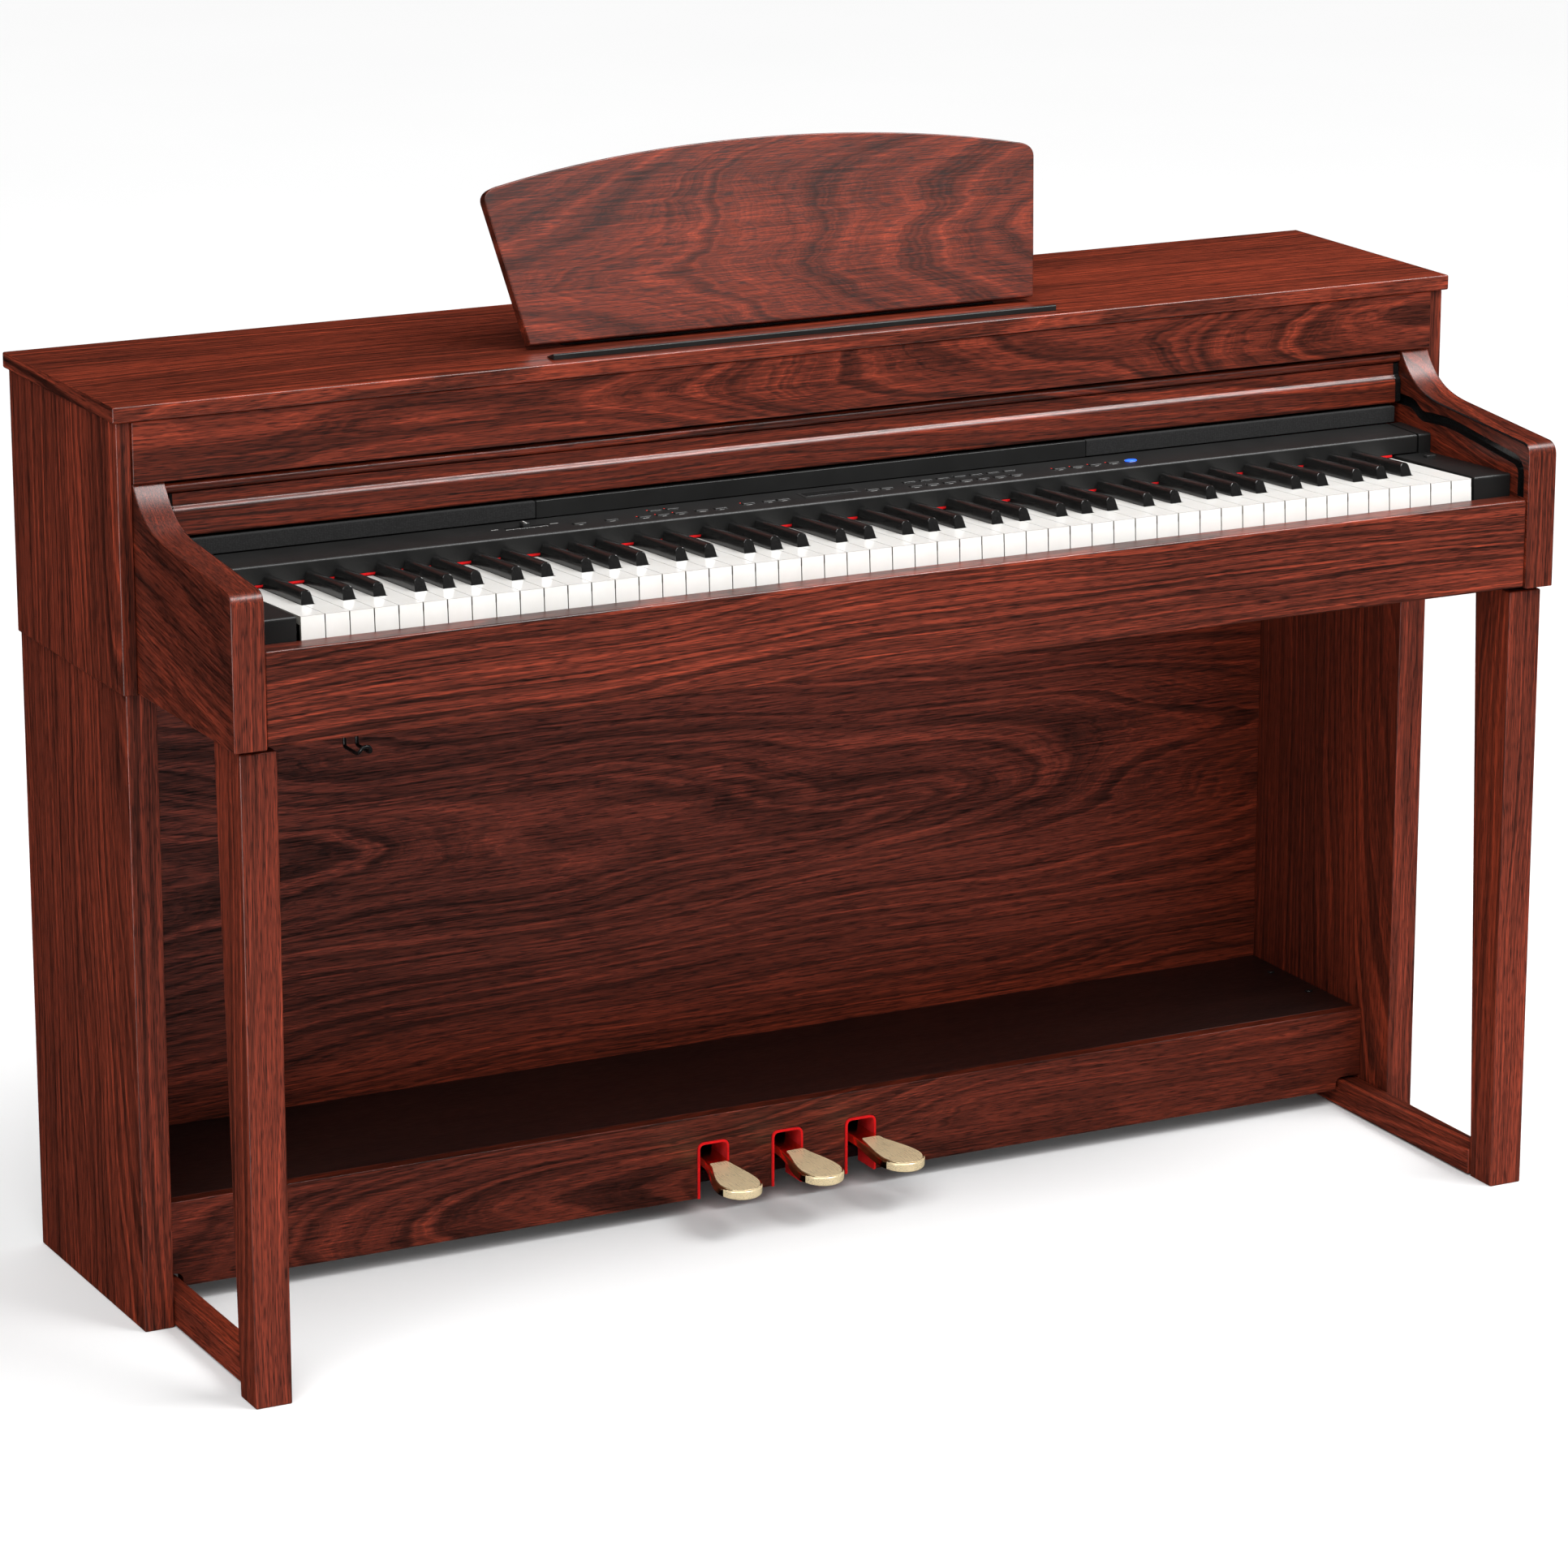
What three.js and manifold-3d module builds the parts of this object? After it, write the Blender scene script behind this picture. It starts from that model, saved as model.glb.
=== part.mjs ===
// A console digital piano on its own stand: a wooden cabinet with an 88-key
// keyboard, a sliding key cover, a folding music rest and three pedals.
//
// Millimetres, +Z up. The origin is on the floor, midway between the sides and
// midway between front and back. +X is the player's right, -Y is the front.

import * as THREE from 'three';
import { RoundedBoxGeometry } from 'three/addons/geometries/RoundedBoxGeometry.js';
import { mergeVertices } from 'three/addons/utils/BufferGeometryUtils.js';
import Module from 'manifold-3d';

const wasm = await Module();
wasm.setup();

// ---------------------------------------------------------------- dimensions

const WIDTH = 1420;
const DEPTH = 514;
const FRONT = -DEPTH / 2;
const BACK = DEPTH / 2;
const LID_TOP = 885;
const LID_THICK = 15;
const GAP = 0.3;

// The cabinet from the outside in: side panels, arms, then the keyboard space.
const SIDE_OUTER = 705.6;
const SIDE_INNER = 691.4;
const ARM_OUTER = 691.1;
const ARM_INNER = 659.4;
const INSIDE = ARM_INNER - GAP;
const CABINET_BOTTOM = 616.8;
const SIDE_FRONT = -26;
const FASCIA_FRONT = -28.7;
const FASCIA_BOTTOM = 812;
const FASCIA_THICK = 15;
const CABINET_BACK = 240;
const EDGE_ROUND = 1.6;

// The stand.
const PLANK_OUTER = 701.2;
const PLANK_INNER = 671.4;
const PLANK_FRONT = -19.8;
const PLANK_TOP = 616.2;
const LEG_OUTER = 683.1;
const LEG_INNER = 647.5;
const LEG_TOP = 612.8;
const LEG_FRONT = -249.3;
const LEG_BACK_AT_FLOOR = -212.1;
const LEG_BACK_AT_TOP = -187.7;
const RAIL_OUTER = PLANK_INNER - GAP;
const RAIL_INNER = 646;
const RAIL_BOTTOM = 1.5;
const RAIL_TOP = 28.5;
const PEDAL_BOX_FRONT = 32.2;
const PEDAL_BOX_TOP = 104.1;
const PEDAL_BOX_BOTTOM = 19.1;
const BOARD_THICK = 14.7;

// The keyboard. Key shapes are drawn about the pivot line and then tilted.
const KEY_PITCH = 23.6;
const KEY_GAP = 1;
const WHITE_COUNT = 52;
const KEYBOARD_LEFT = -WHITE_COUNT * KEY_PITCH / 2;
const KEY_PIVOT = new THREE.Vector3(0, 0, 705);
const KEY_TILT = THREE.MathUtils.degToRad(3.1);
const WHITE_FRONT = -227;
const WHITE_TOP = 8.1;
const WHITE_SLAB = 8;
const BLACK_FRONT = -178.5;
const BLACK_REAR = -87;
const BLACK_TOP = WHITE_TOP + 12;
const BLACK_HALF_BASE = 6.1;
const BLACK_HALF_TOP = 4.5;
const NOTCH_HALF = 7;
const KEY_TAIL = 6;
const BLACK_OFFSETS = { 0: -3, 1: 3, 3: -4, 4: 0, 5: 4 };
const LOW_WHITES = 23;
const OCTAVE_WHITES = 7;

// The black parts round the keyboard.
const KEY_SLIP_FRONT = -254.8;
const KEY_SLIP_BACK = -229.5;
const KEY_SLIP_TOP = 704.9;
const PANEL_HALF = 643;
const PANEL_FRONT = -84;
const PANEL_BACK = -30.5;
const PANEL_TOP = 739;
const PANEL_RISE = 0.9;
const PANEL_BOTTOM = 721.4;
const PANEL_WALL = 3;
const BLOCK_INNER = 617;

// The sliding key cover.
const COVER_HALF = 658.6;
const COVER_TOP = 799;
const COVER_THICK = 8;
const COVER_REAR = 185;

// The music rest. Its outline is drawn in its own plane: across, then up.
const REST_PIVOT = new THREE.Vector3(0, 49.6, 891.6);
const REST_LEAN = THREE.MathUtils.degToRad(19);
const REST_THICK = 12;
const REST_BELOW_PIVOT = 6;
const REST_BEHIND = 3.5;
const REST_HEIGHT = 177.7;
const REST_HALF_BOTTOM = 270;
const REST_HALF_TOP = 294;
const STAY_LENGTH = 80;
const STAY_FOOT = 84;
const STAY_X = 150;
const HINGE_X = 215;

// The pedals. They are drawn about their axle and then tilted.
const PEDAL_SPACING = 82;
const PEDAL_FAN = 8;
const PEDAL_AXLE = new THREE.Vector3(0, 150, 56);
const PEDAL_TILT = THREE.MathUtils.degToRad(2);
const PEDAL_TIP = -215;
const PEDAL_TOP = 8.4;
const PEDAL_THICK = 10;
const AXLE_RADIUS = 4;
const SLOT_HALF = 17.5;
const SLOT_TOP = 77;

// ----------------------------------------------------------------- materials

const finish = (color, roughness, metalness = 0) => ({ color, roughness, metalness });
const WOOD = finish(0x6b2a1c, 0.4);
const DARK_WOOD = finish(0x2b1210, 0.5);
const BLACK_PLASTIC = finish(0x1c1c1c, 0.55);
const SATIN_BLACK = finish(0x101010, 0.35);
const IVORY = finish(0xf2efe6, 0.25);
const EBONY = finish(0x141412, 0.4);
const RED_FELT = finish(0xc8141a, 0.9);
const BRASS = finish(0xd9b467, 0.2, 1);
const STEEL = finish(0x9a9c9e, 0.4, 1);
const BOARD_GREEN = finish(0x1f5a35, 0.6);

// ------------------------------------------------------------ solid geometry

const MERGE_DISTANCE = 1e-4;

function bareIndexed(geometry) {
  const bare = geometry.index ? geometry.toNonIndexed() : geometry.clone();
  bare.deleteAttribute('normal');
  bare.deleteAttribute('uv');
  return mergeVertices(bare, MERGE_DISTANCE);
}

function toSolid(geometry) {
  const merged = bareIndexed(geometry);
  return new wasm.Manifold(new wasm.Mesh({
    numProp: 3,
    vertProperties: Float32Array.from(merged.attributes.position.array),
    triVerts: Uint32Array.from(merged.index.array),
  }));
}

function toGeometry(solid) {
  const mesh = solid.getMesh();
  const geometry = new THREE.BufferGeometry();
  geometry.setAttribute('position', new THREE.BufferAttribute(mesh.vertProperties, mesh.numProp));
  geometry.setIndex(new THREE.BufferAttribute(mesh.triVerts, 1));
  return geometry;
}

function join(...geometries) {
  return toGeometry(geometries.map(toSolid).reduce((sum, next) => sum.add(next)));
}

function cut(body, ...tools) {
  return toGeometry(tools.map(toSolid).reduce((rest, tool) => rest.subtract(tool), toSolid(body)));
}

// A plain block between two corners, given as [low, high] along each axis.
function block([x0, x1], [y0, y1], [z0, z1]) {
  const box = new THREE.BoxGeometry(x1 - x0, y1 - y0, z1 - z0);
  return box.translate((x0 + x1) / 2, (y0 + y1) / 2, (z0 + z1) / 2);
}

// A board with all its edges eased to a small radius.
function board([x0, x1], [y0, y1], [z0, z1], radius = EDGE_ROUND) {
  const box = new RoundedBoxGeometry(x1 - x0, y1 - y0, z1 - z0, 1, radius);
  return box.translate((x0 + x1) / 2, (y0 + y1) / 2, (z0 + z1) / 2);
}

function extrude(shape, length, round, curveSegments) {
  return new THREE.ExtrudeGeometry(shape, {
    depth: length - 2 * round,
    bevelEnabled: round > 0,
    bevelSize: round,
    bevelThickness: round,
    bevelOffset: -round,
    bevelSegments: 2,
    curveSegments,
  }).translate(0, 0, round);
}

// Runs an outline drawn in (y, z) from x0 to x1.
function extrudeX(shape, x0, x1, round = 0, curveSegments = 6) {
  const turn = new THREE.Matrix4().makeBasis(
    new THREE.Vector3(0, 1, 0), new THREE.Vector3(0, 0, 1), new THREE.Vector3(1, 0, 0));
  return extrude(shape, x1 - x0, round, curveSegments).applyMatrix4(turn).translate(x0, 0, 0);
}

// Runs an outline drawn in (x, z) from y0 to y1.
function extrudeY(shape, y0, y1, round = 0, curveSegments = 6) {
  const turn = new THREE.Matrix4().makeRotationX(Math.PI / 2);
  return extrude(shape, y1 - y0, round, curveSegments).applyMatrix4(turn).translate(0, y1, 0);
}

// Runs an outline drawn in (x, y) from z0 to z1.
function extrudeZ(shape, z0, z1, round = 0, curveSegments = 6) {
  return extrude(shape, z1 - z0, round, curveSegments).translate(0, 0, z0);
}

function polygon(points) {
  return new THREE.Shape(points.map(([a, b]) => new THREE.Vector2(a, b)));
}

// A rod or a bored hole along X.
function rodX(radius, x0, x1, y, z, segments = 16) {
  const rod = new THREE.CylinderGeometry(radius, radius, x1 - x0, segments);
  return rod.rotateZ(Math.PI / 2).translate((x0 + x1) / 2, y, z);
}

function mirrorX(geometry) {
  const mirrored = bareIndexed(geometry);
  mirrored.scale(-1, 1, 1);
  const index = mirrored.index.array;
  for (let i = 0; i < index.length; i += 3) {
    [index[i], index[i + 1]] = [index[i + 1], index[i]];
  }
  return mirrored;
}

const piano = new THREE.Group();

function add(name, geometry, look, parent = piano) {
  const mesh = new THREE.Mesh(geometry, new THREE.MeshStandardMaterial(look));
  mesh.name = name;
  parent.add(mesh);
  return mesh;
}

// Adds a right-hand piece and its mirror image.
function addPair(name, geometry, look) {
  add(`${name}_left`, mirrorX(geometry), look);
  add(`${name}_right`, geometry, look);
}

// ------------------------------------------------------------------- cabinet

function topBoard() {
  return board([-WIDTH / 2, WIDTH / 2], [-31, BACK], [LID_TOP - LID_THICK, LID_TOP], 2);
}

function sidePanel() {
  return board([SIDE_INNER, SIDE_OUTER], [SIDE_FRONT, 253],
    [CABINET_BOTTOM - GAP, LID_TOP - LID_THICK - GAP]);
}

function cabinetBack() {
  return block([-ARM_OUTER, ARM_OUTER], [CABINET_BACK + GAP, CABINET_BACK + 12],
    [CABINET_BOTTOM, LID_TOP - LID_THICK - GAP]);
}

function fascia() {
  return board([-ARM_OUTER, ARM_OUTER], [FASCIA_FRONT, FASCIA_FRONT + FASCIA_THICK],
    [FASCIA_BOTTOM, LID_TOP - LID_THICK - GAP]);
}

// A thin rail with a half-round nose, just above the opened key cover.
function bullnoseRail() {
  const low = COVER_TOP + 0.4;
  const radius = 3.7;
  const nose = new THREE.Shape();
  nose.moveTo(-4, low);
  nose.lineTo(-4, low + 2 * radius);
  nose.lineTo(-25 + radius, low + 2 * radius);
  nose.absarc(-25 + radius, low + radius, radius, Math.PI / 2, 3 * Math.PI / 2, false);
  return extrudeX(nose, -INSIDE, INSIDE);
}

// The side of the keyboard: low in front, with a hollow sweep up to the fascia.
function armOutline() {
  const top = FASCIA_BOTTOM - GAP;
  const outline = new THREE.Shape();
  outline.moveTo(FRONT, CABINET_BOTTOM);
  outline.lineTo(CABINET_BACK, CABINET_BOTTOM);
  outline.lineTo(CABINET_BACK, top);
  outline.lineTo(-25, top);
  outline.bezierCurveTo(-42, 785, -60, 774.5, -100, 771);
  outline.lineTo(FRONT + 14, 760.3);
  outline.quadraticCurveTo(FRONT, 759.5, FRONT, 746);
  return outline;
}

// The line of the groove that guides the key cover's front edge.
function groovePath() {
  const path = new THREE.Path();
  path.moveTo(30, 763);
  path.lineTo(-42, 763);
  path.bezierCurveTo(-57, 763, -58, 753, -72, 753);
  path.bezierCurveTo(-92, 754.5, -108, 756, -132, 753.5);
  path.lineTo(-228, 741.8);
  path.quadraticCurveTo(-243.4, 740, -243.4, 726);
  path.lineTo(-243.4, 706);
  return path;
}

// The band within halfWidth of a path.
function ribbon(path, halfWidth) {
  const spine = path.getPoints(6);
  const offset = (side) => spine.map((point, i) => {
    const before = spine[Math.max(i - 1, 0)];
    const after = spine[Math.min(i + 1, spine.length - 1)];
    const along = after.clone().sub(before).normalize();
    return new THREE.Vector2(point.x - along.y * side, point.y + along.x * side);
  });
  return new THREE.Shape([...offset(halfWidth), ...offset(-halfWidth).reverse()]);
}

function arm() {
  const grooveDepth = 5;
  const body = extrudeX(armOutline(), ARM_INNER, ARM_OUTER, EDGE_ROUND, 8);
  const groove = extrudeX(ribbon(groovePath(), 5.3), ARM_INNER - 5, ARM_INNER + grooveDepth);
  return cut(body, groove);
}

function keySlip() {
  return board([-INSIDE, INSIDE], [KEY_SLIP_FRONT, KEY_SLIP_BACK],
    [CABINET_BOTTOM + 1.1, KEY_SLIP_TOP]);
}

const SPEAKER_X = 430;
const SPEAKER_Y = 100;
const KEYBED_TOP = 633;

function keybed() {
  const plate = block([-INSIDE, INSIDE], [KEY_SLIP_BACK + GAP, CABINET_BACK],
    [CABINET_BOTTOM, KEYBED_TOP]);
  const holes = [-SPEAKER_X, SPEAKER_X].map((x) => {
    const hole = new THREE.CylinderGeometry(62, 62, 60, 32);
    return hole.rotateX(Math.PI / 2).translate(x, SPEAKER_Y, KEYBED_TOP);
  });
  return cut(plate, ...holes);
}

// A loudspeaker facing down through its hole in the keybed.
function speaker(x) {
  const half = [
    [0, 652], [14, 649], [20, 655], [55, 638], [60, 633.3], [72, 633.3],
    [72, 637], [44, 668], [44, 696], [0, 696],
  ].map(([radius, height]) => new THREE.Vector2(radius, height));
  return new THREE.LatheGeometry(half, 28).rotateX(Math.PI / 2).translate(x, SPEAKER_Y, 0);
}

// The tone generator board on four posts, with its transformer and heat sink.
function circuitBoard() {
  const posts = [[-200, 100], [200, 100], [-200, 200], [200, 200]].map(
    ([x, y]) => block([x - 4, x + 4], [y - 4, y + 4], [KEYBED_TOP + GAP, 650]));
  return join(
    block([-215, 215], [85, 215], [648, 650]),
    block([-190, -130], [120, 180], [649, 692]),
    block([40, 130], [190, 200], [649, 680]),
    block([-40, 0], [120, 160], [649, 653]),
    ...posts);
}

// A mains inlet under the keybed, open to the back.
function powerInlet() {
  const x = -560;
  const shell = block([x - 17, x + 17], [112, 144], [590, CABINET_BOTTOM - GAP]);
  const socket = block([x - 12, x + 12], [126, 150], [595, 611]);
  return cut(shell, socket);
}

// A bent wire hook for headphones: two legs, a run forward and a low arch.
function headphoneHook() {
  const left = -568;
  const right = -556;
  const middle = (left + right) / 2;
  const run = 598;
  const wire = new THREE.CatmullRomCurve3([
    [left, -212, 612], [left, -212, run + 4], [left, -216, run], [left, -230, run],
    [left, -241, run + 0.5], [left + 1, -246, run + 4], [middle, -247, run + 7.5],
    [right - 1, -246, run + 4], [right, -241, run + 0.5], [right, -230, run],
    [right, -216, run], [right, -212, run + 4], [right, -212, 612],
  ].map(([x, y, z]) => new THREE.Vector3(x, y, z)), false, 'centripetal');
  const section = new THREE.Shape();
  section.absarc(0, 0, 1.7, 0, 2 * Math.PI, false);
  const bent = new THREE.ExtrudeGeometry(section, { steps: 26, curveSegments: 3, extrudePath: wire });
  const plate = block([left - 8, right + 8], [-218, -200], [611, CABINET_BOTTOM - GAP]);
  return join(bent, plate);
}

add('top_board', topBoard(), WOOD);
addPair('side_panel', sidePanel(), WOOD);
add('cabinet_back', cabinetBack(), DARK_WOOD);
add('fascia', fascia(), WOOD);
add('bullnose_rail', bullnoseRail(), WOOD);
addPair('arm', arm(), WOOD);
add('key_slip', keySlip(), WOOD);
add('keybed', keybed(), DARK_WOOD);
add('speaker_left', speaker(-SPEAKER_X), SATIN_BLACK);
add('speaker_right', speaker(SPEAKER_X), SATIN_BLACK);
add('circuit_board', circuitBoard(), BOARD_GREEN);
add('power_inlet', powerInlet(), BLACK_PLASTIC);
add('headphone_hook', headphoneHook(), SATIN_BLACK);

// --------------------------------------------------------------------- stand

function plank() {
  return board([PLANK_INNER, PLANK_OUTER], [PLANK_FRONT, BACK], [0, PLANK_TOP]);
}

// A leg that is deeper at the top, with a thin spacer block on its end.
function frontLeg() {
  const side = polygon([
    [LEG_FRONT, 0], [LEG_BACK_AT_FLOOR, 0], [LEG_BACK_AT_TOP, LEG_TOP], [LEG_FRONT, LEG_TOP],
  ]);
  const spacer = block([LEG_INNER + 5, LEG_OUTER - 5], [LEG_FRONT + 10, LEG_BACK_AT_TOP - 8],
    [LEG_TOP - 5, CABINET_BOTTOM - GAP]);
  return join(extrudeX(side, LEG_INNER, LEG_OUTER, EDGE_ROUND), spacer);
}

function footRail() {
  return board([RAIL_INNER, RAIL_OUTER], [LEG_BACK_AT_FLOOR + 1.7, 250], [RAIL_BOTTOM, RAIL_TOP]);
}

function backPanel() {
  return block([-RAIL_OUTER, RAIL_OUTER], [246.5, 252.5],
    [PEDAL_BOX_TOP - BOARD_THICK, CABINET_BOTTOM - GAP]);
}

// The pedal board's front, with a notch over each foot rail and three slots.
function pedalBoard() {
  const clear = 4;
  const corner = 8;
  const notchX = RAIL_INNER - clear;
  const notchZ = RAIL_TOP + clear;
  const outline = new THREE.Shape();
  outline.moveTo(-RAIL_OUTER, PEDAL_BOX_TOP);
  outline.lineTo(-RAIL_OUTER, notchZ);
  outline.lineTo(-notchX - corner, notchZ);
  outline.quadraticCurveTo(-notchX, notchZ, -notchX, notchZ - corner);
  outline.lineTo(-notchX, PEDAL_BOX_BOTTOM);
  for (const x of [-PEDAL_SPACING, 0, PEDAL_SPACING]) {
    outline.lineTo(x - SLOT_HALF, PEDAL_BOX_BOTTOM);
    outline.lineTo(x - SLOT_HALF, SLOT_TOP - corner);
    outline.quadraticCurveTo(x - SLOT_HALF, SLOT_TOP, x - SLOT_HALF + corner, SLOT_TOP);
    outline.lineTo(x + SLOT_HALF - corner, SLOT_TOP);
    outline.quadraticCurveTo(x + SLOT_HALF, SLOT_TOP, x + SLOT_HALF, SLOT_TOP - corner);
    outline.lineTo(x + SLOT_HALF, PEDAL_BOX_BOTTOM);
  }
  outline.lineTo(notchX, PEDAL_BOX_BOTTOM);
  outline.lineTo(notchX, notchZ - corner);
  outline.quadraticCurveTo(notchX, notchZ, notchX + corner, notchZ);
  outline.lineTo(RAIL_OUTER, notchZ);
  outline.lineTo(RAIL_OUTER, PEDAL_BOX_TOP);
  return extrudeY(outline, PEDAL_BOX_FRONT, PEDAL_BOX_FRONT + BOARD_THICK, 0.8, 3);
}

function pedalShelf() {
  return block([-RAIL_OUTER, RAIL_OUTER], [PEDAL_BOX_FRONT + BOARD_THICK + GAP, 246.2],
    [PEDAL_BOX_TOP - GAP - BOARD_THICK, PEDAL_BOX_TOP - GAP]);
}

// An arch that follows a pedal slot, a given distance inside its edge.
function slotArch(x, inset) {
  const half = SLOT_HALF - inset;
  const top = SLOT_TOP - inset;
  const corner = 8 - inset;
  const arch = new THREE.Shape();
  arch.moveTo(x - half, PEDAL_BOX_BOTTOM - inset);
  arch.lineTo(x + half, PEDAL_BOX_BOTTOM - inset);
  arch.lineTo(x + half, top - corner);
  arch.quadraticCurveTo(x + half, top, x + half - corner, top);
  arch.lineTo(x - half + corner, top);
  arch.quadraticCurveTo(x - half, top, x - half, top - corner);
  return arch;
}

// The red linings of the three slots, moulded on one strip behind the board.
function slotLining() {
  const front = PEDAL_BOX_FRONT - 1.2;
  const back = 66;
  const behind = PEDAL_BOX_FRONT + BOARD_THICK + GAP;
  const strip = block([-PEDAL_SPACING, PEDAL_SPACING], [behind, behind + 2], [71, 85]);
  const hoops = [-PEDAL_SPACING, 0, PEDAL_SPACING].map(
    (x) => extrudeY(slotArch(x, GAP), front, back, 0, 3));
  const holes = [-PEDAL_SPACING, 0, PEDAL_SPACING].map(
    (x) => extrudeY(slotArch(x, 2.8), front - 1, back + 1, 0, 3));
  return cut(join(strip, ...hoops), ...holes);
}

// A folded steel tray with cheeks that carry the pedals' axle. The outer cheeks
// and the back flange reach up to the shelf that the tray hangs from. The tray is
// wider than its cheeks, so that it closes the view through the slots.
function pedalFrame() {
  const half = 125;
  const trayHalf = 195;
  const top = PEDAL_BOX_TOP - 2 * GAP - BOARD_THICK - 0.2;
  const tray = polygon([
    [68, 22], [205, 22], [205, top], [202, top], [202, 25], [76, 25], [76, 34], [68, 34],
  ]);
  const cheek = (x, height) => block(
    [x - 1.5, x + 1.5], [PEDAL_AXLE.y - 20, PEDAL_AXLE.y + 20], [24, height]);
  return join(extrudeX(tray, -trayHalf, trayHalf),
    cheek(-half, top), cheek(-PEDAL_SPACING / 2, 70), cheek(PEDAL_SPACING / 2, 70),
    cheek(half, top), rodX(AXLE_RADIUS, -half, half, PEDAL_AXLE.y, PEDAL_AXLE.z));
}

addPair('side_plank', plank(), WOOD);
addPair('front_leg', frontLeg(), WOOD);
addPair('foot_rail', footRail(), WOOD);
add('back_panel', backPanel(), WOOD);
add('pedal_board', pedalBoard(), WOOD);
add('pedal_shelf', pedalShelf(), DARK_WOOD);
add('slot_lining', slotLining(), RED_FELT);
add('pedal_frame', pedalFrame(), STEEL);

// -------------------------------------------------------------------- pedals

// How far a side pedal has swung out at a distance along its lever.
function fanAt(y) {
  const t = THREE.MathUtils.smoothstep(-y, 105, 200);
  return PEDAL_FAN * t;
}

// A pedal from above: a narrow lever that widens to a rounded tip. The side
// pedals lean away from the middle one; side is -1, 0 or 1.
function pedalOutline(side) {
  const leverHalf = 12;
  const tipHalf = 23;
  const tipLength = 27;
  const widest = PEDAL_TIP + tipLength;
  const edge = [new THREE.Vector2(leverHalf, 26)];
  for (let i = 0; i <= 8; i += 1) {
    const y = THREE.MathUtils.lerp(-118, widest, i / 8);
    const grow = THREE.MathUtils.smoothstep(-y, 118, -widest);
    edge.push(new THREE.Vector2(leverHalf + (tipHalf - leverHalf) * grow, y));
  }
  for (let i = 1; i <= 4; i += 1) {
    const angle = i * Math.PI / 10;
    edge.push(new THREE.Vector2(tipHalf * Math.cos(angle), widest - tipLength * Math.sin(angle)));
  }
  const shift = (point, sign) => new THREE.Vector2(
    sign * point.x + side * fanAt(point.y), point.y);
  const right = edge.map((point) => shift(point, 1));
  const left = edge.map((point) => shift(point, -1)).reverse();
  const tip = shift(new THREE.Vector2(0, PEDAL_TIP), 1);
  return new THREE.Shape([...right, tip, ...left]);
}

function pedal(side) {
  const lever = extrudeZ(pedalOutline(side), PEDAL_TOP - PEDAL_THICK, PEDAL_TOP, 1.5);
  const hub = rodX(9, -12, 12, 0, 0, 20);
  const bore = rodX(AXLE_RADIUS + 0.5, -20, 20, 0, 0);
  return cut(join(lever, hub), bore);
}

for (const [name, side] of [['pedal_left', -1], ['pedal_centre', 0], ['pedal_right', 1]]) {
  const mesh = add(name, pedal(side), BRASS);
  mesh.position.set(side * PEDAL_SPACING, PEDAL_AXLE.y, PEDAL_AXLE.z);
  mesh.rotation.x = PEDAL_TILT;
}

// ------------------------------------------------------------------ keyboard

const WHITE_NAMES = ['c', 'd', 'e', 'f', 'g', 'a', 'b'];

// White keys are numbered 0 to 51 from the left, and the lowest one is an A.
const noteOf = (index) => (index + 5) % OCTAVE_WHITES;

// The centre of the black key to the right of a white key, or null.
function blackCentre(index) {
  const offset = BLACK_OFFSETS[noteOf(index)];
  if (offset === undefined || index < 0 || index >= WHITE_COUNT - 1) {
    return null;
  }
  return KEYBOARD_LEFT + (index + 1) * KEY_PITCH + offset;
}

// A white key about the pivot line, cut back beside its black neighbours.
function whiteKey(index, tail = KEY_TAIL) {
  const left = KEYBOARD_LEFT + index * KEY_PITCH + KEY_GAP / 2;
  const right = left + KEY_PITCH - KEY_GAP;
  const notch = BLACK_FRONT - 2;
  const leftBlack = blackCentre(index - 1);
  const rightBlack = blackCentre(index);
  const tailLeft = leftBlack === null ? left : leftBlack + NOTCH_HALF;
  const tailRight = rightBlack === null ? right : rightBlack - NOTCH_HALF;
  const outline = [[left, WHITE_FRONT], [right, WHITE_FRONT]];
  if (rightBlack !== null) {
    outline.push([right, notch]);
  }
  outline.push([tailRight, rightBlack === null ? tail : notch], [tailRight, tail]);
  outline.push([tailLeft, tail]);
  if (leftBlack !== null) {
    outline.push([tailLeft, notch], [left, notch]);
  }
  const distinct = outline.filter(([x, y], i) => i === 0
    || x !== outline[i - 1][0] || y !== outline[i - 1][1]);
  const slab = extrudeZ(polygon(distinct), WHITE_TOP - WHITE_SLAB, WHITE_TOP);
  const lip = block([left, right], [WHITE_FRONT, WHITE_FRONT + 3], [WHITE_TOP - 22, WHITE_TOP - 1]);
  return join(slab, lip);
}

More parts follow.
